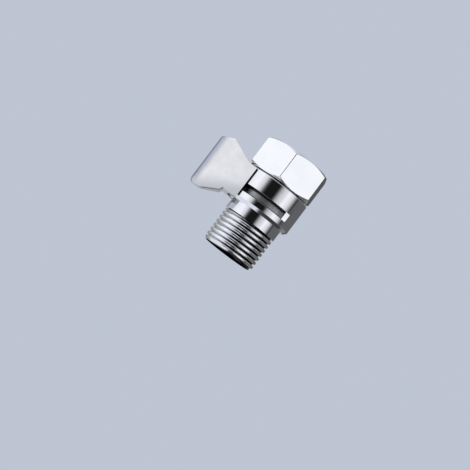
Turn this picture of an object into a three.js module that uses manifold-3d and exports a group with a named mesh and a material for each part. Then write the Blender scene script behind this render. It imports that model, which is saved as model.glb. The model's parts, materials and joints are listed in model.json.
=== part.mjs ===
// An in-line shut-off valve of chromed brass, in millimetres.
// +Z runs along the valve axis towards the inlet. The origin lies on that axis, on the face of the inlet
// washer. The swivel nut is at the top, the outlet thread points down, and the lever points along -X.
// Turning the lever about the valve axis carries a stud along a slot in the barrel. The stud turns a rotor
// and a ceramic disc, which covers the port of a fixed ceramic disc.
import * as THREE from "three";
import { mergeVertices } from "three/addons/utils/BufferGeometryUtils.js";
import Module from "manifold-3d";

const wasm = await Module();
wasm.setup();

// Pipe thread, alike at the inlet and the outlet
const THREAD_MAJOR_R = 10.48;
const THREAD_MINOR_R = 9.32;
const THREAD_LEAD = 1.0;

// Barrel, spigot and outlet
const BARREL_R = 12.95;
const BARREL_LENGTH = 13.2;
const BARREL_EDGE = 0.45;
const BARREL_FOOT_EDGE = 1.2;
const SPIGOT_R = 10.62;
const SPIGOT_LENGTH = 4.7;
const OUTLET_THREAD_LENGTH = 13.0;
const OUTLET_BORE_R = 7.0;
const OUTLET_EDGE = 0.4;

// Slot in the barrel and the travel of the lever in it
const SLOT_WIDTH = 2.9;
const SLOT_RISE = 2.1;
const SLOT_END_PLAY_DEG = 2.4;
const LEVER_TRAVEL_DEG = 128;

// Swivel nut
const NUT_ACROSS_FLATS = 25.2;
const NUT_LENGTH = 12.6;
const NUT_LIP = 1.5;
const NUT_THREAD_REACH = 7.5;
const NUT_CHAMFER_R = 12.2;
const NUT_CHAMFER_DEG = 30;
const NUT_RELIEF_R = 10.7;
const NUT_RELIEF_RISE = 0.8;
const NUT_MOUTH_R = 10.9;
const NUT_LIP_GAP = 0.25;
const NUT_TO_BARREL = 0.35;
const NUT_CORNER_DEG = 263.6;

// Inlet tailpiece
const NECK_R = 8.3;
const NECK_GROOVE_R = 7.6;
const NECK_LAND = 0.6;
const NECK_EDGE = 0.25;
const HEX_SOCKET_FLATS = 11.0;
const HEX_SOCKET_DEPTH = 3.2;
const INLET_BORE_R = 5.4;
const COLLAR_STEP = 0.7;
const COLLAR_RISE = 4.1;
const COLLAR_SEAT = 4.25;
const COLLAR_GROOVE_RISE = 2.5;
const EAR_WALL = 1.1;
const EAR_WIDTH = 3.0;
const EARS_DEG = [90, 270];

// Ring, washer and filter at the inlet
const RING_THICKNESS = 1.0;
const RING_R = 9.1;
const RING_MOUTH_DEG = 44;
const WASHER_R = 9.2;
const WASHER_BORE_R = 5.8;
const WASHER_THICKNESS = 1.8;
const FILTER_SEAT_DEPTH = 0.8;
const FILTER_RIM_R = 7.5;
const FILTER_RIM_BORE_R = 6.3;
const FILTER_RIM_THICKNESS = 0.75;
const SCREEN_THICKNESS = 0.25;
const SCREEN_OVERLAP = 0.4;
const SCREEN_HOLE_R = 0.42;
const SCREEN_PITCH = 1.5;

// Ceramic discs and the seal above them
const DISC_THICKNESS = 2.0;
const PORT_INNER_R = 2.2;
const PORT_OUTER_R = 5.6;
const PORT_DEG = 110;
const DISC_GAP = 0.1;
const SEAL_THICKNESS = 0.8;
const SEAL_WIDTH = 2.0;
const SUPPORT_WALL = 0.5;

// Rotor, its bearing washer and its stem
const ROTOR_R = 10.6;
const ROTOR_RIM = 1.5;
const ROTOR_SHOULDER = 2.6;
const ROTOR_HEIGHT = 5.45;
const ROTOR_TOP_GAP = 0.9;
const ROTOR_EDGE = 0.2;
const ROTOR_POCKET_DEPTH = 1.0;
const ROTOR_GROOVE_RISE = 4.2;
const STEM_WALL = 1.8;
const STEM_LENGTH = 5.55;
const STEM_GROOVE_DROP = 1.6;
const STEM_END_GROOVE_DROP = 3.9;
const STEM_END_GAP = 0.3;
const THRUST_THICKNESS = 0.5;
const DOG_WIDTH = 2.6;
const DOG_REACH = 1.5;
const DOGS_DEG = [0, 180];

// O-rings and the grooves that hold them
const CORD_R = 0.45;
const GROOVE_DEPTH = 0.9;
const GROOVE_WIDTH = 1.1;

// Running clearances
const TURN_GAP = 0.12;
const SLIP_GAP = 0.1;
const POCKET_GAP = 0.2;

// Lever and its stud
const SADDLE_GAP = 0.25;
const LEVER_BASE = 9.9;
const LEVER_TOP = 27.2;
const NOSE_LENGTH = 2.7;
const NOSE_HALF = 1.9;
const SADDLE_HALF = 9.2;
const NOSE_TIP_HALF = 0.2;
const NECK_HALF = 6.5;
const NECK_TOP_INLET = 12.7;
const NECK_TOP_OUTLET = 15.9;
const NECK_STEP = 1.1;
const NECK_STEP_RISE = 0.5;
const FAN_HALF = 11.05;
const FAN_AT = 22.5;
const FAN_TOP_HALF = 9.0;
const OUTLET_CORNER_AT = 25.7;
const LEVER_EDGE = 0.6;
const LEVER_FLAT = 0.02;
const STUD_R = 1.25;
const STUD_PAST_SCREW = 0.3;
const STUD_DEPTH = 2.2;
const STUD_EDGE = 0.25;
const SOCKET_FLOOR_GAP = 0.3;

// Grub screw that clamps the lever on its stud, put in from the back of the lever
const SCREW_R = 1.5;
const SCREW_LENGTH = 3.6;
const SCREW_EDGE = 0.2;
const SCREW_WALL = 0.5;
const SCREW_SOCKET_FLATS = 1.5;
const SCREW_SOCKET_DEPTH = 1.6;

// Facets of a full turn outside and inside, of half a disc, of a screen hole, of an O-ring's section and of a
// rounded corner
const TURN_FACETS = 60;
const INNER_FACETS = 36;
const SMALL_FACETS = 24;
const HOLE_FACETS = 6;
const CORD_FACETS = 6;
const CORNER_FACETS = 3;

// How far a cutter runs past what it cuts, the least distance between two sections of the lever, and how
// close two corners lie that are one
const OVERSHOOT = 1;
const SECTION_SPACING = 0.01;
const WELD = 1e-4;

// A hexagon's corner radius for each unit of half its width across flats
const HEX_CORNER = 1 / Math.cos(Math.PI / 6);

// Sections of the lever along its wedge and round its nose
const WEDGE_SECTIONS = 12;
const NOSE_SECTIONS = 6;

// Radii that follow the rotor's
const STEM_R = ROTOR_R - ROTOR_SHOULDER;
const ROTOR_BORE_R = STEM_R - STEM_WALL;
const POCKET_R = ROTOR_R - ROTOR_RIM;
const DISC_R = POCKET_R - POCKET_GAP;
const SEAL_BORE_R = DISC_R - SEAL_WIDTH;
const COLLAR_R = ROTOR_R + COLLAR_STEP;
const EAR_POCKET_R = COLLAR_R - EAR_WALL;
const STUD_INNER = ROTOR_R - STUD_DEPTH;

// Distances from the axis that follow the barrel's radius
const SADDLE_R = BARREL_R + SADDLE_GAP;
const SCREW_AT = SADDLE_R + SCREW_WALL + SCREW_R;
const STUD_OUTER = SCREW_AT + SCREW_R + STUD_PAST_SCREW;

// Heights, worked out from the washer's face downwards: the barrel's floor is what its length leaves below the
// rotor, and the slot keeps its place on the rotor
const Z_NUT_TOP = NUT_THREAD_REACH;
const Z_NUT_BOTTOM = Z_NUT_TOP - NUT_LENGTH;
const Z_LIP_TOP = Z_NUT_BOTTOM + NUT_LIP;
const Z_NECK_TOP = -WASHER_THICKNESS;
const Z_RING_TOP = Z_NECK_TOP - NECK_LAND;
const Z_BARREL_TOP = Z_NUT_BOTTOM - NUT_TO_BARREL;
const Z_BARREL_BOTTOM = Z_BARREL_TOP - BARREL_LENGTH;
const Z_SPIGOT_BOTTOM = Z_BARREL_BOTTOM - SPIGOT_LENGTH;
const Z_OUTLET = Z_SPIGOT_BOTTOM - OUTLET_THREAD_LENGTH;
const Z_LEVER = (Z_BARREL_TOP + Z_BARREL_BOTTOM) / 2;
const Z_COLLAR_SEAT = Z_BARREL_TOP - COLLAR_SEAT;
const Z_COLLAR_TOP = Z_COLLAR_SEAT + COLLAR_RISE;
const Z_ROTOR_TOP = Z_COLLAR_SEAT - ROTOR_TOP_GAP;
const Z_SHOULDER = Z_ROTOR_TOP - ROTOR_HEIGHT;
const Z_SLOT = Z_SHOULDER + SLOT_RISE;
const Z_FLOOR = Z_SHOULDER - THRUST_THICKNESS - SLIP_GAP;
const Z_STEM_BOTTOM = Z_SHOULDER - STEM_LENGTH;
const Z_MOVING_DISC = Z_ROTOR_TOP - ROTOR_POCKET_DEPTH;
const Z_FIXED_DISC = Z_MOVING_DISC + DISC_THICKNESS + DISC_GAP;
const Z_SEAL = Z_FIXED_DISC + DISC_THICKNESS;
const Z_CEILING = Z_SEAL + SEAL_THICKNESS;

// The lever's stud, seen from the axis, takes up this half angle of the slot.
const STUD_HALF_DEG = THREE.MathUtils.radToDeg(Math.asin(STUD_R / BARREL_R)) + SLOT_END_PLAY_DEG;
const SLOT_ARC_DEG = LEVER_TRAVEL_DEG + 2 * STUD_HALF_DEG;

const CENTRE = new THREE.Vector2(0, 0);

// Finishes
const chrome = new THREE.MeshStandardMaterial({ color: 0xe6e8ec, metalness: 1, roughness: 0.08 });
const satinMetal = new THREE.MeshStandardMaterial({ color: 0x7d7f80, metalness: 1, roughness: 0.45 });
const rawBrass = new THREE.MeshStandardMaterial({ color: 0xc9a554, metalness: 1, roughness: 0.35 });
const springSteel = new THREE.MeshStandardMaterial({ color: 0xa9adb2, metalness: 1, roughness: 0.3 });
const blackRubber = new THREE.MeshStandardMaterial({ color: 0x1c1c1e, metalness: 0, roughness: 0.8 });
const whiteCeramic = new THREE.MeshStandardMaterial({ color: 0xf0eee8, metalness: 0, roughness: 0.15 });
const greyCeramic = new THREE.MeshStandardMaterial({ color: 0x55585c, metalness: 0, roughness: 0.15 });
const paleNylon = new THREE.MeshStandardMaterial({ color: 0xe9e6dc, metalness: 0, roughness: 0.5 });

const mesh = (name, geometry, material) => {
  const made = new THREE.Mesh(geometry, material);
  made.name = name;
  return made;
};

// A closed geometry as a solid that can be joined and cut.
function solidOf(geometry) {
  const bare = geometry.index ? geometry.toNonIndexed() : geometry.clone();
  bare.deleteAttribute("normal");
  bare.deleteAttribute("uv");
  const merged = mergeVertices(bare, WELD);
  const corners = merged.index.array;
  const kept = [];
  for (let i = 0; i < corners.length; i += 3) {
    const [a, b, c] = [corners[i], corners[i + 1], corners[i + 2]];
    if (a !== b && b !== c && c !== a) kept.push(a, b, c);
  }
  return new wasm.Manifold(
    new wasm.Mesh({
      numProp: 3,
      vertProperties: new Float32Array(merged.attributes.position.array),
      triVerts: new Uint32Array(kept),
    }),
  );
}

// A solid as a geometry that a mesh can hold.
function geometryOf(solid) {
  const { vertProperties, triVerts } = solid.getMesh();
  const geometry = new THREE.BufferGeometry();
  geometry.setAttribute("position", new THREE.BufferAttribute(new Float32Array(vertProperties), 3));
  geometry.setIndex(new THREE.BufferAttribute(new Uint32Array(triVerts), 1));
  geometry.computeVertexNormals();
  return geometry;
}

// A profile of [radius, height] corners, listed anticlockwise, turned about the valve axis.
function turned(profile, facets = INNER_FACETS) {
  const loop = [...profile, profile[0]].map(([r, z]) => new THREE.Vector2(r, z));
  return new THREE.LatheGeometry(loop, facets).rotateX(Math.PI / 2);
}

// The profile of a groove cut into an outside face, from its upper corner down.
const groove = (outside, floor, middle, width) => [
  [outside, middle - width / 2],
  [floor, middle - width / 2],
  [floor, middle + width / 2],
  [outside, middle + width / 2],
];

// A flat outline raised from one height to another.
function raised(shape, from, to, facets = SMALL_FACETS) {
  const geometry = new THREE.ExtrudeGeometry(shape, {
    depth: to - from,
    bevelEnabled: false,
    curveSegments: facets,
  });
  return geometry.translate(0, 0, from);
}

// A block between two radii, centred on a direction from the axis, as a key, dog or pocket has.
function radialBlock(innerR, outerR, width, from, to, angleDeg) {
  const block = new THREE.BoxGeometry(outerR - innerR, width, to - from);
  block.translate((innerR + outerR) / 2, 0, (from + to) / 2);
  return block.rotateZ(THREE.MathUtils.degToRad(angleDeg));
}

// A round bar with eased ends, from one distance to another along +Y.
function roundBar(radius, inner, outer, edge) {
  const profile = [
    [0, inner],
    [radius - edge, inner],
    [radius, inner + edge],
    [radius, outer - edge],
    [radius - edge, outer],
    [0, outer],
  ];
  return new THREE.LatheGeometry(
    profile.map(([r, along]) => new THREE.Vector2(r, along)),
    SMALL_FACETS,
  );
}

// A round bar along -X at the slot's height, as the stud and its sockets are.
const studBar = (radius, inner, outer, edge) =>
  roundBar(radius, inner, outer, edge).rotateZ(Math.PI / 2).translate(0, 0, Z_SLOT);

// A round bar along +Y that meets the stud from the back of the lever, as the grub screw and its hole are.
const screwBar = (radius, inner, outer, edge) =>
  roundBar(radius, inner, outer, edge).translate(-SCREW_AT, 0, Z_SLOT);

function hexagon(acrossFlats, cornerDeg = 0) {
  const shape = new THREE.Shape();
  const cornerR = (acrossFlats / 2) * HEX_CORNER;
  for (let i = 0; i < 6; i += 1) {
    const angle = THREE.MathUtils.degToRad(cornerDeg + 60 * i);
    const [x, y] = [cornerR * Math.cos(angle), cornerR * Math.sin(angle)];
    if (i === 0) shape.moveTo(x, y);
    else shape.lineTo(x, y);
  }
  shape.closePath();
  return shape;
}

function oRing(outerR, height) {
  const ring = new THREE.TorusGeometry(outerR - CORD_R, CORD_R, CORD_FACETS, INNER_FACETS);
  return ring.translate(0, 0, height);
}

// The slot's cutter: a sector of a ring, from behind the stud round to the far end of its travel.
function slotCutter() {
  const start = THREE.MathUtils.degToRad(180 - STUD_HALF_DEG);
  const end = start + THREE.MathUtils.degToRad(SLOT_ARC_DEG);
  const innerR = (ROTOR_R + STEM_R) / 2;
  const outerR = BARREL_R + OVERSHOOT;
  const sector = new THREE.Shape();
  sector.absarc(0, 0, outerR, start, end, false);
  sector.absarc(0, 0, innerR, end, start, true);
  sector.closePath();
  return raised(sector, Z_SLOT - SLOT_WIDTH / 2, Z_SLOT + SLOT_WIDTH / 2, TURN_FACETS);
}

function valveBody() {
  const rotorBore = ROTOR_R + TURN_GAP;
  const stemBore = STEM_R + TURN_GAP;
  const collarBore = COLLAR_R + SLIP_GAP;
  const body = turned([
    [OUTLET_BORE_R + OUTLET_EDGE, Z_OUTLET],
    [THREAD_MAJOR_R - THREAD_LEAD, Z_OUTLET],
    [THREAD_MAJOR_R, Z_OUTLET + THREAD_LEAD],
    [THREAD_MAJOR_R, Z_SPIGOT_BOTTOM],
    [SPIGOT_R, Z_SPIGOT_BOTTOM],
    [SPIGOT_R, Z_BARREL_BOTTOM],
    [BARREL_R - BARREL_FOOT_EDGE, Z_BARREL_BOTTOM],
    [BARREL_R, Z_BARREL_BOTTOM + BARREL_FOOT_EDGE],
    [BARREL_R, Z_BARREL_TOP - BARREL_EDGE],
    [BARREL_R - BARREL_EDGE, Z_BARREL_TOP],
    [collarBore, Z_BARREL_TOP],
    [collarBore, Z_COLLAR_SEAT],
    [rotorBore, Z_COLLAR_SEAT],
    [rotorBore, Z_FLOOR],
    [stemBore, Z_FLOOR],
    [stemBore, Z_STEM_BOTTOM - STEM_END_GAP],
    [OUTLET_BORE_R, Z_STEM_BOTTOM - STEM_END_GAP],
    [OUTLET_BORE_R, Z_OUTLET + OUTLET_EDGE],
  ], TURN_FACETS);
  return geometryOf(solidOf(body).subtract(solidOf(slotCutter())));
}

function swivelNut() {
  const slope = Math.tan(THREE.MathUtils.degToRad(NUT_CHAMFER_DEG));
  const blankR = (NUT_ACROSS_FLATS / 2) * HEX_CORNER + OVERSHOOT;
  const drop = (blankR - NUT_CHAMFER_R) * slope;
  const lipR = NECK_R + NUT_LIP_GAP;
  const mouth = NUT_MOUTH_R - THREAD_MINOR_R;
  const chamfered = turned([
    [lipR, Z_NUT_BOTTOM],
    [NUT_CHAMFER_R, Z_NUT_BOTTOM],
    [blankR, Z_NUT_BOTTOM + drop],
    [blankR, Z_NUT_TOP - drop],
    [NUT_CHAMFER_R, Z_NUT_TOP],
    [NUT_MOUTH_R, Z_NUT_TOP],
    [THREAD_MINOR_R, Z_NUT_TOP - mouth],
    [THREAD_MINOR_R, NUT_RELIEF_RISE],
    [NUT_RELIEF_R, NUT_RELIEF_RISE],
    [NUT_RELIEF_R, Z_LIP_TOP],
    [lipR, Z_LIP_TOP],
  ], TURN_FACETS);
  const prism = raised(hexagon(NUT_ACROSS_FLATS, NUT_CORNER_DEG), Z_NUT_BOTTOM, Z_NUT_TOP);
  return geometryOf(solidOf(prism).intersect(solidOf(chamfered)));
}

function inletTailpiece() {
  const collarGroove = Z_COLLAR_SEAT + COLLAR_GROOVE_RISE;
  const grooveFloor = COLLAR_R - GROOVE_DEPTH;
  const ringBottom = Z_RING_TOP - RING_THICKNESS;
  const turnedPiece = turned([
    [POCKET_R, Z_COLLAR_SEAT],
    [COLLAR_R, Z_COLLAR_SEAT],
    ...groove(COLLAR_R, grooveFloor, collarGroove, GROOVE_WIDTH),
    [COLLAR_R, Z_COLLAR_TOP],
    [NECK_R, Z_COLLAR_TOP],
    [NECK_R, ringBottom],
    [NECK_GROOVE_R, ringBottom],
    [NECK_GROOVE_R, Z_RING_TOP],
    [NECK_R, Z_RING_TOP],
    [NECK_R, Z_NECK_TOP - NECK_EDGE],
    [NECK_R - NECK_EDGE, Z_NECK_TOP],
    [INLET_BORE_R, Z_NECK_TOP],
    [INLET_BORE_R, Z_CEILING],
    [POCKET_R, Z_CEILING],
  ]);
  const socketFloor = Z_NECK_TOP - HEX_SOCKET_DEPTH;
  const socket = raised(hexagon(HEX_SOCKET_FLATS, NUT_CORNER_DEG), socketFloor, Z_NECK_TOP + OVERSHOOT);
  let piece = solidOf(turnedPiece).subtract(solidOf(socket));
  for (const angle of EARS_DEG) {
    const width = EAR_WIDTH + 2 * POCKET_GAP;
    const [from, to] = [Z_COLLAR_SEAT - OVERSHOOT, Z_SEAL + SLIP_GAP];
    piece = piece.subtract(solidOf(radialBlock(SEAL_BORE_R, EAR_POCKET_R, width, from, to, angle)));
  }
  return geometryOf(piece);
}

// The waterway through a ceramic disc: a sector about +Y, which the other disc covers when it has turned.
function portHole() {
  const middle = Math.PI / 2;
  const half = THREE.MathUtils.degToRad(PORT_DEG / 2);
  const hole = new THREE.Path();
  hole.absarc(0, 0, PORT_OUTER_R, middle - half, middle + half, false);
  hole.absarc(0, 0, PORT_INNER_R, middle + half, middle - half, true);
  hole.closePath();
  return hole;
}

function roundPlate(radius, holes) {
  const plate = new THREE.Shape();
  plate.absarc(0, 0, radius, 0, 2 * Math.PI, false);
  plate.holes.push(...holes);
  return plate;
}

function fixedDisc() {
  let disc = solidOf(raised(roundPlate(DISC_R, [portHole()]), Z_FIXED_DISC, Z_SEAL));
  for (const angle of EARS_DEG) {
    const outerR = EAR_POCKET_R - POCKET_GAP;
    disc = disc.add(solidOf(radialBlock(SEAL_BORE_R, outerR, EAR_WIDTH, Z_FIXED_DISC, Z_SEAL, angle)));
  }
  return geometryOf(disc);
}

function movingDisc() {
  const top = Z_MOVING_DISC + DISC_THICKNESS;
  let disc = solidOf(raised(roundPlate(DISC_R, [portHole()]), Z_MOVING_DISC, top));
  for (const angle of DOGS_DEG) {
    const width = DOG_WIDTH + 2 * POCKET_GAP;
    const [innerR, outerR] = [DISC_R - DOG_REACH - POCKET_GAP, DISC_R + OVERSHOOT];
    const [from, to] = [Z_MOVING_DISC - OVERSHOOT, top + OVERSHOOT];
    disc = disc.subtract(solidOf(radialBlock(innerR, outerR, width, from, to, angle)));
  }
  return geometryOf(disc);
}

function rotor() {
  const upperGroove = Z_SHOULDER + ROTOR_GROOVE_RISE;
  const stemFloor = STEM_R - GROOVE_DEPTH;
  const turnedPiece = turned([
    [ROTOR_BORE_R, Z_STEM_BOTTOM],
    [STEM_R - ROTOR_EDGE, Z_STEM_BOTTOM],
    [STEM_R, Z_STEM_BOTTOM + ROTOR_EDGE],
    ...groove(STEM_R, stemFloor, Z_SHOULDER - STEM_END_GROOVE_DROP, GROOVE_WIDTH),
    ...groove(STEM_R, stemFloor, Z_SHOULDER - STEM_GROOVE_DROP, GROOVE_WIDTH),
    [STEM_R, Z_SHOULDER],
    [ROTOR_R - ROTOR_EDGE, Z_SHOULDER],
    [ROTOR_R, Z_SHOULDER + ROTOR_EDGE],
    ...groove(ROTOR_R, ROTOR_R - GROOVE_DEPTH, upperGroove, GROOVE_WIDTH),
    [ROTOR_R, Z_ROTOR_TOP],
    [POCKET_R, Z_ROTOR_TOP],
    [POCKET_R, Z_MOVING_DISC],
    [ROTOR_BORE_R, Z_MOVING_DISC],
  ]);
  let piece = solidOf(turnedPiece);
  for (const angle of DOGS_DEG) {
    const [innerR, outerR] = [DISC_R - DOG_REACH, ROTOR_R - GROOVE_DEPTH];
    piece = piece.add(solidOf(radialBlock(innerR, outerR, DOG_WIDTH, Z_MOVING_DISC, Z_ROTOR_TOP, angle)));
  }
  const socket = studBar(STUD_R + SLIP_GAP, STUD_INNER - SOCKET_FLOOR_GAP, ROTOR_R + OVERSHOOT, 0);
  return geometryOf(piece.subtract(solidOf(socket)));
}

// The nut's split ring, open on the side away from the lever.
function nutRetainingRing() {
  const half = THREE.MathUtils.degToRad(RING_MOUTH_DEG / 2);
  const innerR = NECK_GROOVE_R + SLIP_GAP;
  const ring = new THREE.Shape();
  ring.absarc(0, 0, RING_R, half, 2 * Math.PI - half, false);
  ring.absarc(0, 0, innerR, 2 * Math.PI - half, half, true);
  ring.closePath();
  const bottom = Z_RING_TOP - RING_THICKNESS;
  return raised(ring, bottom + SLIP_GAP / 2, Z_RING_TOP - SLIP_GAP / 2);
}

function inletWasher() {
  const seatR = FILTER_RIM_R + SLIP_GAP;
  return turned([
    [WASHER_BORE_R, Z_NECK_TOP],
    [WASHER_R, Z_NECK_TOP],
    [WASHER_R, 0],
    [seatR, 0],
    [seatR, -FILTER_SEAT_DEPTH],
    [WASHER_BORE_R, -FILTER_SEAT_DEPTH],
  ]);
}

// The crimped rim, with a groove inside it that grips the edge of the screen.
function filterRim() {
  const bottom = -FILTER_SEAT_DEPTH;
  const top = bottom + FILTER_RIM_THICKNESS;
  const middle = (bottom + top) / 2;
  const slit = SCREEN_THICKNESS / 2 + SLIP_GAP / 2;
  const gripR = FILTER_RIM_BORE_R + SCREEN_OVERLAP + SLIP_GAP / 2;
  return turned([
    [FILTER_RIM_BORE_R, bottom],
    [FILTER_RIM_R, bottom],
    [FILTER_RIM_R, top],
    [FILTER_RIM_BORE_R, top],
    [FILTER_RIM_BORE_R, middle + slit],
    [gripR, middle + slit],
    [gripR, middle - slit],
    [FILTER_RIM_BORE_R, middle - slit],
  ]);
}

// The screen: a thin disc with holes on a triangular pitch.
function filterScreen() {
  const middle = FILTER_RIM_THICKNESS / 2 - FILTER_SEAT_DEPTH;
  const reach = FILTER_RIM_BORE_R - SCREEN_HOLE_R;
  const rows = Math.ceil(reach / SCREEN_PITCH) + 1;
  const holes = [];
  for (let row = -rows; row <= rows; row += 1) {
    for (let column = -rows; column <= rows; column += 1) {
      const x = (column + (row % 2 ? 0.5 : 0)) * SCREEN_PITCH;
      const y = row * SCREEN_PITCH * Math.sin(Math.PI / 3);
      if (Math.hypot(x, y) > reach) continue;
      const corners = Array.from({ length: HOLE_FACETS }, (_, i) =>
        new THREE.Vector2(SCREEN_HOLE_R, 0).rotateAround(CENTRE, (i / HOLE_FACETS) * 2 * Math.PI),
      );
      holes.push(new THREE.Path(corners.map((corner) => corner.add(new THREE.Vector2(x, y)))));
    }
  }
  const screen = roundPlate(FILTER_RIM_BORE_R + SCREEN_OVERLAP, holes);
  return raised(screen, middle - SCREEN_THICKNESS / 2, middle + SCREEN_THICKNESS / 2);
}

const ringPlate = (innerR, outerR, from, to) =>
  turned([
    [innerR, from],
    [outerR, from],
    [outerR, to],
    [innerR, to],
  ]);

// The lever's rounded top corner on the outlet's side, from its flank up.
const outletCorner = Array.from({ length: CORNER_FACETS + 1 }, (_, i) => {
  const turn = (i / CORNER_FACETS) * (Math.PI / 2);
  return [
    THREE.MathUtils.lerp(OUTLET_CORNER_AT, LEVER_TOP, Math.sin(turn)),
    THREE.MathUtils.lerp(FAN_TOP_HALF, FAN_HALF, Math.cos(turn)),
  ];
});

// The lever's outlines on the inlet's and the outlet's side, as [distance from the valve axis, half width].
const INLET_OUTLINE = [
  [LEVER_BASE, NECK_HALF],
  [NECK_TOP_INLET, NECK_HALF],
  [FAN_AT, FAN_HALF],
  [LEVER_TOP, FAN_TOP_HALF],
];
const OUTLET_OUTLINE = [
  [LEVER_BASE, NECK_HALF],
  [NECK_TOP_OUTLET - NECK_STEP_RISE, NECK_HALF],
  [NECK_TOP_OUTLET, NECK_HALF + NECK_STEP],
  [FAN_AT, FAN_HALF],
  ...outletCorner,
];

// The half width that an outline has at a distance from the valve axis.
function halfAt(outline, distance) {
  const last = outline.findLastIndex(([at]) => at <= distance);
  const start = Math.min(last, outline.length - 2);
  const [[fromAt, fromHalf], [toAt, toHalf]] = outline.slice(start);
  return THREE.MathUtils.mapLinear(distance, fromAt, toAt, fromHalf, toHalf);
}

// The lever's half thickness: a wedge from the saddle to the nose, then the nose's round.
function wedgeHalf(distance) {
  const noseAt = LEVER_TOP - NOSE_LENGTH;
  if (distance <= noseAt) {
    return THREE.MathUtils.mapLinear(distance, LEVER_BASE, noseAt, SADDLE_HALF, NOSE_HALF);
  }
  const along = Math.min((distance - noseAt) / NOSE_LENGTH, 1);
  return Math.max(NOSE_HALF * Math.sqrt(1 - along * along), NOSE_TIP_HALF);
}

// Distances from the axis at which the lever's section is set out, closer together round the nose.
function leverStations() {
  const noseAt = LEVER_TOP - NOSE_LENGTH;
  const bends = [...INLET_OUTLINE, ...OUTLET_OUTLINE].map(([at]) => at);
  const wedge = Array.from({ length: WEDGE_SECTIONS }, (_, i) =>
    THREE.MathUtils.lerp(LEVER_BASE, noseAt, i / WEDGE_SECTIONS),
  );
  const nose = Array.from({ length: NOSE_SECTIONS + 1 }, (_, i) =>
    noseAt + NOSE_LENGTH * Math.sin((i / NOSE_SECTIONS) * (Math.PI / 2)),
  );
  const stations = [...wedge, ...bends, ...nose].sort((a, b) => a - b);
  return stations.filter((at, i) => i === 0 || at - stations[i - 1] > SECTION_SPACING);
}

// One section of the lever: a rectangle with rounded corners, across -X.
function leverSection(distance) {
  const half = wedgeHalf(distance);
  const up = halfAt(INLET_OUTLINE, distance);
  const down = halfAt(OUTLET_OUTLINE, distance);
  const round = Math.min(LEVER_EDGE, half - LEVER_FLAT);
  const corners = [
    [half - round, up - round, 0],
    [round - half, up - round, 1],
    [round - half, round - down, 2],
    [half - round, round - down, 3],
  ];
  return corners.flatMap(([y, z, quarter]) =>
    Array.from({ length: CORNER_FACETS + 1 }, (_, i) => {
      const angle = (quarter + i / CORNER_FACETS) * (Math.PI / 2);
      return new THREE.Vector3(
        -distance,
        y + round * Math.cos(angle),
        Z_LEVER + z + round * Math.sin(angle),
      );
    }),
  );
}

// A closed skin over a row of sections that have as many points each.
function lofted(sections) {
  const count = sections[0].length;
  const points = sections.flat();
  const faces = [];
  for (let s = 0; s + 1 < sections.length; s += 1) {
    for (let i = 0; i < count; i += 1) {
      const [a, b] = [s * count + i, s * count + ((i + 1) % count)];
      faces.push(a, a + count, b, b, a + count, b + count);
    }
  }
  for (const [first, flip] of [
    [0, false],
    [(sections.length - 1) * count, true],
  ]) {
    for (let i = 1; i + 1 < count; i += 1) {
      const [b, c] = flip ? [first + i + 1, first + i] : [first + i, first + i + 1];
      faces.push(first, b, c);
    }
  }
  return new THREE.BufferGeometry().setFromPoints(points).setIndex(faces);
}

function lever() {
  const blank = solidOf(lofted(leverStations().map(leverSection)));
  const saddle = turned([
    [0, Z_BARREL_BOTTOM - OVERSHOOT],
    [SADDLE_R, Z_BARREL_BOTTOM - OVERSHOOT],
    [SADDLE_R, Z_BARREL_TOP + OVERSHOOT],
    [0, Z_BARREL_TOP + OVERSHOOT],
  ], TURN_FACETS);
  const studSocket = studBar(STUD_R + SLIP_GAP, LEVER_BASE, STUD_OUTER + SOCKET_FLOOR_GAP, 0);
  const screwHole = screwBar(SCREW_R + SLIP_GAP, 0, SADDLE_HALF + OVERSHOOT, 0);
  return geometryOf(
    [saddle, studSocket, screwHole].reduce((left, cutter) => left.subtract(solidOf(cutter)), blank),
  );
}

// The grub screw, with its hexagon socket at the back.
function leverGrubScrew() {
  const inner = STUD_R + SLIP_GAP;
  const outer = inner + SCREW_LENGTH;
  const socket = raised(hexagon(SCREW_SOCKET_FLATS), outer - SCREW_SOCKET_DEPTH, outer + OVERSHOOT);
  socket.rotateX(-Math.PI / 2).translate(-SCREW_AT, 0, Z_SLOT);
  return geometryOf(solidOf(screwBar(SCREW_R, inner, outer, SCREW_EDGE)).subtract(solidOf(socket)));
}

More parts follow.
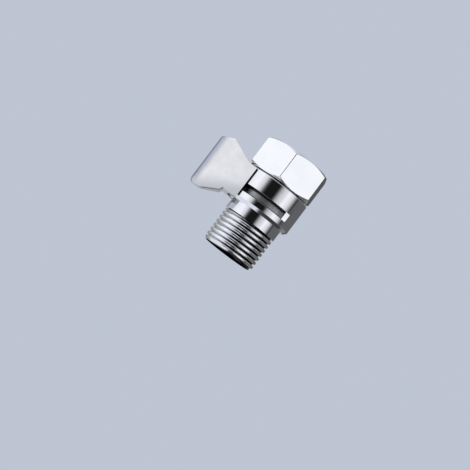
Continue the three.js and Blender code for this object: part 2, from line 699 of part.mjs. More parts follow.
const rimSealR = POCKET_R - SLIP_GAP;
const supportR = SEAL_BORE_R - SLIP_GAP;
const thrustTop = Z_FLOOR + THRUST_THICKNESS;
const valve = new THREE.Group();
valve.add(
  mesh("valve_body", valveBody(), chrome),
  mesh("swivel_nut", swivelNut(), chrome),
  mesh("lever", lever(), chrome),
  mesh("inlet_tailpiece", inletTailpiece(), rawBrass),
  mesh("nut_retaining_ring", nutRetainingRing(), springSteel),
  mesh("inlet_washer", inletWasher(), blackRubber),
  mesh("filter_rim", filterRim(), springSteel),
  mesh("filter_screen", filterScreen(), springSteel),
  mesh("tailpiece_oring", oRing(COLLAR_R, Z_COLLAR_SEAT + COLLAR_GROOVE_RISE), blackRubber),
  mesh("disc_seal", ringPlate(SEAL_BORE_R, rimSealR, Z_SEAL, Z_CEILING), blackRubber),
  mesh("disc_seal_support", ringPlate(supportR - SUPPORT_WALL, supportR, Z_SEAL, Z_CEILING), paleNylon),
  mesh("fixed_disc", fixedDisc(), whiteCeramic),
  mesh("moving_disc", movingDisc(), greyCeramic),
  mesh("rotor", rotor(), satinMetal),
  mesh("rotor_upper_oring", oRing(ROTOR_R, Z_SHOULDER + ROTOR_GROOVE_RISE), blackRubber),
  mesh("rotor_lower_oring", oRing(STEM_R, Z_SHOULDER - STEM_GROOVE_DROP), blackRubber),
  mesh("rotor_end_oring", oRing(STEM_R, Z_SHOULDER - STEM_END_GROOVE_DROP), blackRubber),
  mesh("thrust_washer", ringPlate(STEM_R + POCKET_GAP, ROTOR_R, Z_FLOOR, thrustTop), paleNylon),
  mesh("drive_stud", studBar(STUD_R, STUD_INNER, STUD_OUTER, STUD_EDGE), springSteel),
  mesh("lever_grub_screw", leverGrubScrew(), springSteel),
);

export default valve;
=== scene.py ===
"""An in-line shut-off valve of chromed brass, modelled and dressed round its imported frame.

The valve axis is Z: the inlet's swivel nut is at the top, the outlet's thread points down, and the lever
points along -X. Every piece is built in millimetres in that frame, and scaled to metres when it is done.
"""

import json
import logging
import math
from collections.abc import Callable, Iterable, Mapping, Sequence
from dataclasses import dataclass
from enum import Enum

import bmesh
import bpy
from mathutils import Matrix, Vector


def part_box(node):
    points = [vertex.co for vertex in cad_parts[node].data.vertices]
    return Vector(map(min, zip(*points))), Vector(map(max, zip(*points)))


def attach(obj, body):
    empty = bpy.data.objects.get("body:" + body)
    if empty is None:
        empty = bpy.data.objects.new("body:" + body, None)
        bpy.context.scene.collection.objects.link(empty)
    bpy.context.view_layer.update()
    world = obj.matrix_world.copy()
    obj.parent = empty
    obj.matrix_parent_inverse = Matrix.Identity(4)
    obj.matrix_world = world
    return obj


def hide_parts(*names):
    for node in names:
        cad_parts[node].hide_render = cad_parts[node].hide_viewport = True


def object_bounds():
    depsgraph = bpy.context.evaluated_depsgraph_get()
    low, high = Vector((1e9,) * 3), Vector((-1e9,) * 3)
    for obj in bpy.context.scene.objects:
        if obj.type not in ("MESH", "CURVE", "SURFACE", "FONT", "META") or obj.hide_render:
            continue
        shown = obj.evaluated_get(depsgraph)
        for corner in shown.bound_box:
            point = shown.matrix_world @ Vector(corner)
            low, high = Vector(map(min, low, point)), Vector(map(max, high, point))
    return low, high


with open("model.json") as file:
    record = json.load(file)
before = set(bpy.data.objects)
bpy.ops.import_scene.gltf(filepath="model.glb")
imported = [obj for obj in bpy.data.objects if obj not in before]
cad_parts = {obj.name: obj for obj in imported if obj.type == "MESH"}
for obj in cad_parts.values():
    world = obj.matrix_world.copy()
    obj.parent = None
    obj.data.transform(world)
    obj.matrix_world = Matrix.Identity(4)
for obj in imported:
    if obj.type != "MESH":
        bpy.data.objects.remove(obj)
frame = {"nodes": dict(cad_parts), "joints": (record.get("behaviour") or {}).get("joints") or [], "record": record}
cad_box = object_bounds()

LOG = logging.getLogger("valve")

MM = 0.001
FULL_TURN = 2 * math.pi
ORIGIN = Vector((0.0, 0.0, 0.0))
AXIS = Vector((0.0, 0.0, 1.0))
ACROSS = Matrix.Rotation(math.pi / 2, 4, "Y")
FORWARDS = Matrix.Rotation(math.pi / 2, 4, "X")

# Distances in millimetres: what is one point, what lies on a plane, what lies on a round wall of facets,
# and how far a cutter reaches past what it cuts
WELD = 1e-4
ON_PLANE = 1e-3
ON_WALL = 1e-2
PAST = 1.0

# The angle between two faces above which their edge is sharp, and the one below which they are one plane
SHARP = math.radians(38)
COPLANAR = math.radians(0.05)

# Facets of a rounded edge, strips of a whole turn, and how strongly large faces rule the shading of small ones
ROUND_STEPS = 4
TURN_STEPS = 288
FLAT_FACE_PULL = 100

RGB = tuple[float, float, float]
Triple = tuple[float, float, float]
Socket = bpy.types.NodeSocket


@dataclass(frozen=True)
class Reach:
    """The box of one CAD node at rest, in millimetres.

    Args:
        low: The lowest corner.
        high: The highest corner.
    """

    low: Vector
    high: Vector

    @classmethod
    def of(cls, node: str) -> "Reach":
        """The box of the CAD node of that name."""
        low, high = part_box(node)
        return cls(low / MM, high / MM)

    @property
    def middle_z(self) -> float:
        """The height of the box's middle."""
        return (self.low.z + self.high.z) / 2


@dataclass(frozen=True)
class Corner:
    """A corner of a turned profile.

    Args:
        radius: Its distance from the valve axis.
        height: Its place along the valve axis.
        ease: How far its rounding reaches along both sides, or 0 for a sharp corner.
        steps: How many facets that rounding has.
    """

    radius: float
    height: float
    ease: float = 0.0
    steps: int = ROUND_STEPS


def profile(corners: Sequence[Corner], closed: bool = True) -> bmesh.types.BMesh:
    """Lays corners out as a line in the plane of X and Z, and rounds those that ask for it.

    Args:
        corners: The corners in order.
        closed: Whether the last corner joins the first.

    Returns:
        A bmesh of edges only.
    """
    bm = bmesh.new()
    verts = [bm.verts.new((corner.radius, 0.0, corner.height)) for corner in corners]
    following = verts[1:] + verts[:1] if closed else verts[1:]
    for pair in zip(verts, following):
        bm.edges.new(pair)
    for corner, vert in zip(corners, verts):
        if corner.ease:
            bmesh.ops.bevel(bm, geom=[vert], offset=corner.ease, segments=corner.steps, profile=0.5,
                            affect="VERTICES", material=-1, clamp_overlap=True)
    return bm


def eased(bm: bmesh.types.BMesh, edges: Sequence[bmesh.types.BMEdge], reach: float,
          steps: int = ROUND_STEPS, clamped: bool = True) -> None:
    """Rounds edges.

    Args:
        bm: The shape.
        edges: Its edges to round.
        reach: How far the round reaches to both sides.
        steps: How many facets it has.
        clamped: Whether it gives way to its neighbours where they would meet.
    """
    bmesh.ops.bevel(bm, geom=edges, offset=reach, segments=steps, profile=0.5, affect="EDGES", material=-1,
                    clamp_overlap=clamped)


def spun(bm: bmesh.types.BMesh, steps: int = TURN_STEPS, angle: float = FULL_TURN,
         rise: float = 0.0) -> bmesh.types.BMesh:
    """Turns a profile about the valve axis.

    Args:
        bm: The profile, which becomes the surface.
        steps: How many strips the turn has.
        angle: How far it turns, in radians.
        rise: How far it climbs along the axis in that angle.

    Returns:
        The same bmesh.
    """
    whole = math.isclose(angle, FULL_TURN) and not rise
    bmesh.ops.spin(bm, geom=bm.verts[:] + bm.edges[:], cent=ORIGIN, axis=AXIS, dvec=(0.0, 0.0, rise / steps),
                   angle=angle, steps=steps, use_merge=whole)
    bmesh.ops.remove_doubles(bm, verts=bm.verts, dist=WELD)
    return bm


def prism(bm: bmesh.types.BMesh, along: Vector) -> bmesh.types.BMesh:
    """Fills an outline and extrudes it both ways from where it lies.

    Args:
        bm: The outline, which becomes the prism.
        along: How far it reaches to one side.

    Returns:
        The same bmesh.
    """
    bmesh.ops.translate(bm, verts=bm.verts, vec=-along)
    face = bmesh.ops.contextual_create(bm, geom=bm.edges[:])["faces"][0]
    grown = bmesh.ops.extrude_face_region(bm, geom=[face], use_keep_orig=True)["geom"]
    far = [item for item in grown if isinstance(item, bmesh.types.BMVert)]
    bmesh.ops.translate(bm, verts=far, vec=2 * along)
    return bm


def taken_in(bm: bmesh.types.BMesh, *others: bmesh.types.BMesh) -> bmesh.types.BMesh:
    """Copies other bmeshes into the first one, and frees them.

    Args:
        bm: The bmesh that grows.
        others: What goes into it.

    Returns:
        The first bmesh.
    """
    for other in others:
        carrier = bpy.data.meshes.new("carrier")
        other.to_mesh(carrier)
        other.free()
        bm.from_mesh(carrier)
        bpy.data.meshes.remove(carrier)
    return bm


def round_bar(radius: float, length: float, place: Matrix, segments: int = 48) -> bmesh.types.BMesh:
    """A closed cylinder.

    Args:
        radius: Its radius.
        length: Its length.
        place: Where its middle lies, with its own Z along it.
        segments: How many sides it has.

    Returns:
        A new bmesh.
    """
    bm = bmesh.new()
    bmesh.ops.create_cone(bm, cap_ends=True, segments=segments, radius1=radius, radius2=radius, depth=length,
                          matrix=place)
    return bm


def shown(bm: bmesh.types.BMesh, name: str) -> bpy.types.Object:
    """Makes a bmesh an object of the scene, and frees it."""
    mesh = bpy.data.meshes.new(name)
    bm.to_mesh(mesh)
    bm.free()
    made = bpy.data.objects.new(name, mesh)
    bpy.context.scene.collection.objects.link(made)
    return made


def carved(bm: bmesh.types.BMesh, cutter: bmesh.types.BMesh,
           operation: str = "DIFFERENCE") -> bmesh.types.BMesh:
    """Cuts or joins two closed shapes exactly, and frees both.

    Args:
        bm: The shape to work on.
        cutter: The other shape.
        operation: The Boolean modifier's own word for what to do.

    Returns:
        A new bmesh of the result.
    """
    objects = []
    for name, shape in (("blank", bm), ("cutter", cutter)):
        bmesh.ops.recalc_face_normals(shape, faces=shape.faces)
        objects.append(shown(shape, name))
    blank, tool = objects
    modifier = blank.modifiers.new("cut", "BOOLEAN")
    modifier.operation = operation
    modifier.solver = "EXACT"
    modifier.object = tool
    result = bmesh.new()
    result.from_object(blank, bpy.context.evaluated_depsgraph_get())
    for used in objects:
        mesh = used.data
        bpy.data.objects.remove(used)
        bpy.data.meshes.remove(mesh)
    return result


def sliced(bm: bmesh.types.BMesh, spot: Vector, outwards: Vector) -> list[bmesh.types.BMEdge]:
    """Cuts a bmesh by a plane and keeps what lies behind it.

    Args:
        bm: The bmesh.
        spot: A point of the plane.
        outwards: The plane's normal, towards what goes.

    Returns:
        The edges that now lie on the plane.
    """
    made = bmesh.ops.bisect_plane(bm, geom=bm.verts[:] + bm.edges[:] + bm.faces[:], dist=WELD, plane_co=spot,
                                  plane_no=outwards, clear_outer=True)
    return [item for item in made["geom_cut"] if isinstance(item, bmesh.types.BMEdge)]


def rim(bm: bmesh.types.BMesh, height: float) -> list[bmesh.types.BMEdge]:
    """The open edges of a bmesh that lie at one height."""
    return [edge for edge in bm.edges if edge.is_boundary
            and all(abs(vert.co.z - height) < ON_PLANE for vert in edge.verts)]


def placed(bm: bmesh.types.BMesh, name: str, material: bpy.types.Material, body: str,
           nodes: Sequence[str]) -> bpy.types.Object:
    """Makes a shape in millimetres into a piece of the valve in metres.

    Args:
        bm: The finished shape, which is freed.
        name: The piece's name.
        material: Its material.
        body: The CAD body that it rides on.
        nodes: The CAD nodes that it stands for.

    Returns:
        The piece.
    """
    bmesh.ops.recalc_face_normals(bm, faces=bm.faces)
    bmesh.ops.transform(bm, matrix=Matrix.Scale(MM, 4), verts=bm.verts)
    for face in bm.faces:
        face.smooth = True
    for edge in bm.edges:
        edge.smooth = edge.calc_face_angle(0.0) < SHARP
    piece = shown(bm, name)
    piece.data.materials.append(material)
    shading = piece.modifiers.new("flat_faces", "WEIGHTED_NORMAL")
    shading.keep_sharp = True
    shading.weight = FLAT_FACE_PULL
    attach(piece, body)
    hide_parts(*nodes)
    LOG.info("%s: %d faces, rides on %s", name, len(piece.data.polygons), body)
    return piece


class Graph:
    """A node tree that is put together a node at a time.

    Args:
        tree: The tree to add to.
    """

    def __init__(self, tree: bpy.types.NodeTree) -> None:
        self.tree = tree

    @classmethod
    def of(cls, owner: bpy.types.Material | bpy.types.World) -> "Graph":
        """The emptied tree of a material or a world."""
        owner.use_nodes = True
        owner.node_tree.nodes.clear()
        return cls(owner.node_tree)

    def add(self, kind: str, inputs: Mapping[str | int, object] | None = None,
            **settings: object) -> bpy.types.Node:
        """Adds a node.

        Args:
            kind: The node's type, without its leading ShaderNode.
            inputs: A value or a socket for each input that isn't left alone.
            settings: The node's own properties.

        Returns:
            The node.
        """
        node = self.tree.nodes.new("ShaderNode" + kind)
        for name, value in settings.items():
            setattr(node, name, value)
        for key, value in (inputs or {}).items():
            if isinstance(value, Socket):
                self.tree.links.new(value, node.inputs[key])
            else:
                node.inputs[key].default_value = value
        return node

    def place(self) -> Socket:
        """Where a point lies on its piece."""
        return self.add("TexCoord").outputs["Object"]

    def math(self, operation: str, *values: object) -> Socket:
        """The result of a Math node on one to three values or sockets."""
        return self.add("Math", dict(enumerate(values)), operation=operation).outputs[0]

    def vector(self, operation: str, *values: object, output: str = "Vector") -> Socket:
        """The result of a Vector Math node on one or two vectors."""
        return self.add("VectorMath", dict(enumerate(values)), operation=operation).outputs[output]

    def noise(self, scale: object, detail: float = 2.0) -> Socket:
        """A cloud over the piece, between 0 and 1."""
        return self.add("TexNoise", {"Vector": self.place(), "Scale": scale, "Detail": detail}).outputs[0]

    def eased(self, value: Socket, low: object, high: object, first: object = 0.0,
              last: object = 1.0) -> Socket:
        """A smooth step from the first result to the last, while the value goes from low to high."""
        limits = {"Value": value, "From Min": low, "From Max": high, "To Min": first, "To Max": last}
        return self.add("MapRange", limits, interpolation_type="SMOOTHSTEP").outputs[0]

    def mixed(self, share: object, first: object, second: object) -> Socket:
        """The colour between two others, by a share."""
        node = self.add("Mix", data_type="RGBA")
        for socket, value in ((node.inputs[0], share), (node.inputs[6], first), (node.inputs[7], second)):
            if isinstance(value, Socket):
                self.tree.links.new(value, socket)
            else:
                socket.default_value = value if isinstance(value, float) else (*value, 1.0)
        return node.outputs[2]


class Effects:
    """The node groups that several finishes share."""

    # The scale of the marks' drift, and the limits between which the haze's clouds and the grains fade
    drift_scale = 120.0
    cloud_limits = (0.3, 0.7)
    grain_limits = (0.62, 0.36)

    def __init__(self) -> None:
        self.marks = self._group("tool_marks", {"Density": 8000.0, "Wander": 0.2}, "Height", self._marks)
        self.ripple = self._group("ripple", {"Scale": 250.0}, "Height", self._ripple)
        self.haze = self._group("haze", {"Scale": 400.0, "Low": 0.03, "High": 0.08}, "Value", self._haze)
        usual = {"Along": (0.0, 0.0, 1.0), "Outwards": 0.0, "Middle": 0.0, "Half": 1.0, "Blur": 0.3}
        self.band = self._group("band", usual, "Mask", self._band)
        self.specks = self._group("specks", {"Scale": 3000.0, "Share": 0.3}, "Mask", self._specks)

    @staticmethod
    def _group(name: str, inputs: Mapping[str, float | Triple], output: str,
               wiring: Callable[[Graph, Mapping[str, Socket]], Socket]) -> bpy.types.NodeTree:
        """Makes a node group.

        Args:
            name: The group's name.
            inputs: Its inputs with their usual values.
            output: The name of its output.
            wiring: What adds its nodes and returns the socket to put out.

        Returns:
            The group.
        """
        tree = bpy.data.node_groups.new(name, "ShaderNodeTree")
        for label, usual in inputs.items():
            kind = "NodeSocketFloat" if isinstance(usual, float) else "NodeSocketVector"
            tree.interface.new_socket(label, in_out="INPUT", socket_type=kind).default_value = usual
        tree.interface.new_socket(output, in_out="OUTPUT", socket_type="NodeSocketFloat")
        entry = tree.nodes.new("NodeGroupInput")
        leaving = tree.nodes.new("NodeGroupOutput")
        result = wiring(Graph(tree), {label: entry.outputs[label] for label in inputs})
        tree.links.new(result, leaving.inputs[output])
        return tree

    def _marks(self, graph: Graph, given: Mapping[str, Socket]) -> Socket:
        """Fine lines round the valve axis, on walls and on end faces alike."""
        parts = graph.add("SeparateXYZ", {0: graph.place()})
        squares = [graph.math("POWER", parts.outputs[name], 2.0) for name in "XY"]
        outwards = graph.math("SQRT", graph.math("ADD", *squares))
        along = graph.math("MULTIPLY", graph.math("ADD", outwards, parts.outputs["Z"]), given["Density"])
        drift = graph.math("MULTIPLY", graph.noise(self.drift_scale, detail=1.0), given["Wander"])
        line = {"W": graph.math("ADD", along, drift), "Scale": 1.0, "Detail": 3.0}
        return graph.add("TexNoise", line, noise_dimensions="1D").outputs[0]

    def _ripple(self, graph: Graph, given: Mapping[str, Socket]) -> Socket:
        """The slight unevenness that polishing leaves."""
        return graph.noise(given["Scale"], detail=1.0)

    def _haze(self, graph: Graph, given: Mapping[str, Socket]) -> Socket:
        """A value that drifts between two limits."""
        cloud = graph.noise(given["Scale"], detail=4.0)
        return graph.eased(cloud, *self.cloud_limits, given["Low"], given["High"])

    def _band(self, graph: Graph, given: Mapping[str, Socket]) -> Socket:
        """A mask that is clear near one place along a direction and full away from it."""
        place = graph.place()
        outwards = graph.vector("LENGTH", graph.vector("MULTIPLY", place, (1.0, 1.0, 0.0)), output="Value")
        along = graph.vector("DOT_PRODUCT", place, given["Along"], output="Value")
        spot = graph.math("ADD", along, graph.math("MULTIPLY", outwards, given["Outwards"]))
        off = graph.math("ABSOLUTE", graph.math("SUBTRACT", spot, given["Middle"]))
        return graph.eased(off, given["Half"], graph.math("ADD", given["Half"], given["Blur"]))

    def _specks(self, graph: Graph, given: Mapping[str, Socket]) -> Socket:
        """A mask of small grains."""
        grain = graph.noise(given["Scale"], detail=3.0)
        clear, full = self.grain_limits
        limits = {"Value": grain, "From Min": clear, "From Max": full, "To Max": given["Share"]}
        return graph.add("MapRange", limits).outputs[0]

    @staticmethod
    def use(graph: Graph, group: bpy.types.NodeTree, values: Mapping[str, float | Triple]) -> Socket:
        """Places a group in a material with that material's own values, and returns its output."""
        node = graph.add("Group", node_tree=group)
        for label, value in values.items():
            node.inputs[label].default_value = value
        return node.outputs[0]


class Grain(Enum):
    """What a finish's fine relief comes from."""

    TURNED = "marks"
    POLISHED = "ripple"
    MOULDED = "specks"


@dataclass(frozen=True)
class Band:
    """A stretch of a surface where its colour changes, measured in millimetres.

    Args:
        colour: The colour that it changes to.
        middle: The middle of the stretch that stays as it is.
        half: How far that stretch reaches to each side.
        blur: The distance over which the colour then changes.
        along: The direction that this is measured along.
        outwards: The weight of the distance from the valve axis in that measure.
    """

    colour: RGB
    middle: float
    half: float
    blur: float
    along: Triple = (0.0, 0.0, 1.0)
    outwards: float = 0.0

    def over(self, graph: Graph, effects: Effects, base: Socket) -> Socket:
        """Lays the band over a colour, and returns the new colour."""
        values = {"Along": self.along, "Outwards": self.outwards, "Middle": self.middle * MM,
                  "Half": self.half * MM, "Blur": self.blur * MM}
        return graph.mixed(effects.use(graph, effects.band, values), base, self.colour)


@dataclass(frozen=True)
class Finish:
    """A procedural finish.

    Args:
        colour: Its main colour.
        shade: The colour that it drifts to.
        roughness: The limits between which its roughness drifts.
        grain: Where its fine relief comes from.
        grain_size: The grain's size, in millimetres.
        relief: The relief's depth, in millimetres.
        ripple: The depth of a slower unevenness, in millimetres.
        metal: Whether it is a metal.
        sheen: The share of soft light at grazing angles, on rubber.
        glow: The share of light that scatters below the surface, on nylon and ceramic.
        bands: Where its colour changes.
    """

    colour: RGB
    shade: RGB
    roughness: tuple[float, float]
    grain: Grain
    grain_size: float
    relief: float
    ripple: float = 0.0
    metal: bool = True
    sheen: float = 0.0
    glow: float = 0.0
    bands: tuple[Band, ...] = ()

    # How large the clouds of the roughness, the colour and the slow unevenness are, in millimetres
    haze_size = 2.2
    drift_size = 4.4
    ripple_size = 3.5

    def material(self, name: str, effects: Effects) -> bpy.types.Material:
        """Builds the finish as a material.

        Args:
            name: The material's name.
            effects: The shared node groups.

        Returns:
            The material.
        """
        made = bpy.data.materials.new(name)
        graph = Graph.of(made)
        low, high = self.roughness
        haze = {"Scale": 1 / (self.haze_size * MM), "Low": low, "High": high}
        drift = {"Scale": 1 / (self.drift_size * MM), "Low": 0.0, "High": 1.0}
        base = graph.mixed(effects.use(graph, effects.haze, drift), self.colour, self.shade)
        for band in self.bands:
            base = band.over(graph, effects, base)
        shader = graph.add("BsdfPrincipled", {
            "Base Color": base,
            "Roughness": effects.use(graph, effects.haze, haze),
            "Metallic": float(self.metal),
            "Sheen Weight": self.sheen,
            "Subsurface Weight": self.glow,
            "Subsurface Scale": MM,
            "Normal": self._relief(graph, effects),
        })
        graph.add("OutputMaterial", {"Surface": shader.outputs[0]})
        return made

    def _relief(self, graph: Graph, effects: Effects) -> Socket:
        """The surface normal with the slow unevenness under the fine grain."""
        slow = effects.use(graph, effects.ripple, {"Scale": 1 / (self.ripple_size * MM)})
        under = graph.add("Bump", {"Height": slow, "Distance": self.ripple * MM}).outputs[0]
        per_metre = 1 / (self.grain_size * MM)
        fine = {
            Grain.TURNED: lambda: effects.use(graph, effects.marks, {"Density": per_metre}),
            Grain.POLISHED: lambda: effects.use(graph, effects.ripple, {"Scale": per_metre}),
            Grain.MOULDED: lambda: effects.use(graph, effects.specks, {"Scale": per_metre, "Share": 1.0}),
        }[self.grain]()
        return graph.add("Bump", {"Height": fine, "Distance": self.relief * MM, "Normal": under}).outputs[0]


# Painted shade that darkens the thread roots, most of all on the right
PAINTED_ROOT_SHADE = Band((0.05, 0.05, 0.055), middle=12.5, half=2.5, blur=0.45,
                  along=(-0.04, 0.0, 0.0), outwards=1.0)
# Painted shade standing in for how larger rounds on the lever would mirror the studio: round its nose and along
# its outlet flank
NOSE_PAINTED_SHADE = Band((0.39, 0.405, 0.51), middle=0.0, half=24.0, blur=2.8, along=(1.0, 0.0, 0.0))
FLANK_PAINTED_SHADE = Band((0.60, 0.61, 0.64), middle=20.0, half=24.5, blur=5.5, along=(-0.46, 0.0, 0.885))
# Painted shade on the rotor's drum: dark all over but for a strip along the middle of the slot, so that the slot's
# edges look shaded by its walls
SLOT_PAINTED_SHADE = Band((0.03, 0.032, 0.034), middle=-13.85, half=0.7, blur=0.4)

FINISHES: dict[str, Finish] = {
    "chrome_body": Finish((0.86, 0.87, 0.89), (0.83, 0.84, 0.87), (0.035, 0.07),
                          Grain.TURNED, 0.09, 0.00012, 0.0015, bands=(PAINTED_ROOT_SHADE,)),
    "chrome_nut": Finish((0.89, 0.90, 0.92), (0.86, 0.87, 0.90), (0.04, 0.08),
                         Grain.POLISHED, 0.5, 0.0003, 0.0020),
    "chrome_lever": Finish((0.90, 0.905, 0.92), (0.82, 0.83, 0.84), (0.08, 0.13),
                           Grain.POLISHED, 0.7, 0.0008, 0.0060, bands=(NOSE_PAINTED_SHADE, FLANK_PAINTED_SHADE)),
    "bare_brass": Finish((0.52, 0.38, 0.18), (0.40, 0.28, 0.13), (0.30, 0.42),
                         Grain.TURNED, 0.15, 0.0020, 0.002),
    "spring_steel": Finish((0.60, 0.61, 0.63), (0.48, 0.48, 0.50), (0.22, 0.34),
                           Grain.POLISHED, 0.2, 0.0010, 0.002),
    "stainless": Finish((0.68, 0.69, 0.70), (0.58, 0.58, 0.58), (0.20, 0.32),
                        Grain.POLISHED, 0.25, 0.0012, 0.002),
    "black_rubber": Finish((0.030, 0.030, 0.033), (0.055, 0.055, 0.060), (0.55, 0.75),
                           Grain.MOULDED, 0.12, 0.010, 0.004, metal=False, sheen=0.15),
    "pale_nylon": Finish((0.84, 0.81, 0.73), (0.78, 0.74, 0.65), (0.35, 0.50),
                         Grain.MOULDED, 0.20, 0.004, 0.004, metal=False, glow=0.15),
    "white_ceramic": Finish((0.90, 0.89, 0.85), (0.85, 0.84, 0.80), (0.10, 0.20),
                            Grain.MOULDED, 0.08, 0.0006, 0.001, metal=False, glow=0.05),
    "grey_ceramic": Finish((0.16, 0.165, 0.18), (0.11, 0.115, 0.13), (0.10, 0.20),
                           Grain.MOULDED, 0.08, 0.0006, 0.001, metal=False),
    "satin_metal": Finish((0.42, 0.43, 0.43), (0.28, 0.29, 0.29), (0.38, 0.55),
                          Grain.TURNED, 0.16, 0.0060, 0.004, bands=(SLOT_PAINTED_SHADE,)),
}


class Dressing:
    """The materials of the record's slots, each built once."""

    def __init__(self) -> None:
        self.effects = Effects()
        self.made = {slot: finish.material(slot, self.effects) for slot, finish in FINISHES.items()}

    def place(self, bm: bmesh.types.BMesh, name: str, body: str, slot: str, *nodes: str) -> bpy.types.Object:
        """Makes a finished shape a piece with the material of its slot, standing for its CAD nodes."""
        return placed(bm, name, self.made[slot], body, nodes)

    def cover_cad_nodes(self) -> None:
        """Gives the CAD nodes that still show the material of their slot."""
        for row in frame["record"]["subparts"]:
            node = frame["nodes"][row["node"]]
            if node.hide_render:
                continue
            if not node.material_slots:
                node.data.materials.append(None)
            for holder in node.material_slots:
                holder.material = self.made[row["material_slot"]]
            LOG.info("%s: CAD node in %s", row["node"], row["material_slot"])


@dataclass(frozen=True)
class PipeThread:
    """The half-inch parallel pipe thread.

    Args:
        major_r: The radius over a male thread's crests.
        minor_r: The radius at its roots.
        pitch: The distance from crest to crest.
        crest: The width of a crest before it is rounded.
        root: The width of a root.
        ease: How far a crest's rounding reaches.
        steps: Strips in one turn.
        shift: How far the first root lies below the lower cut, over one pitch.
        spare_turns: How many turns are cut off again at the two cuts.
    """

    major_r: float = 10.48
    minor_r: float = 9.5
    pitch: float = 1.814
    crest: float = 0.84
    root: float = 0.12
    ease: float = 0.26
    steps: int = 96
    shift: float = 1.16
    spare_turns: int = 2

    def ribbon(self, low: float, high: float, limit: Callable[[float, float], float]) -> bmesh.types.BMesh:
        """A helical strip of thread, cut square at two heights.

        Args:
            low: The lower cut.
            high: The upper cut.
            limit: Gives the radius that a point keeps, from its radius and its height.

        Returns:
            A bmesh that is open at both cuts.
        """
        start = low - self.pitch - self.shift
        turns = math.ceil((high - low) / self.pitch) + self.spare_turns
        low_crest = start + (self.pitch - self.crest) / 2
        bm = profile([
            Corner(self.minor_r, start),
            Corner(self.minor_r, start + self.root / 2, self.root / 2),
            Corner(self.major_r, low_crest, self.ease),
            Corner(self.major_r, low_crest + self.crest, self.ease),
            Corner(self.minor_r, start + self.pitch - self.root / 2, self.root / 2),
            Corner(self.minor_r, start + self.pitch),
        ], closed=False)
        spun(bm, steps=self.steps * turns, angle=FULL_TURN * turns, rise=self.pitch * turns)
        sliced(bm, AXIS * low, -AXIS)
        sliced(bm, AXIS * high, AXIS)
        for vert in bm.verts:
            radius = math.hypot(vert.co.x, vert.co.y)
            share = limit(radius, vert.co.z) / radius
            vert.co.x *= share
            vert.co.y *= share
        return bm


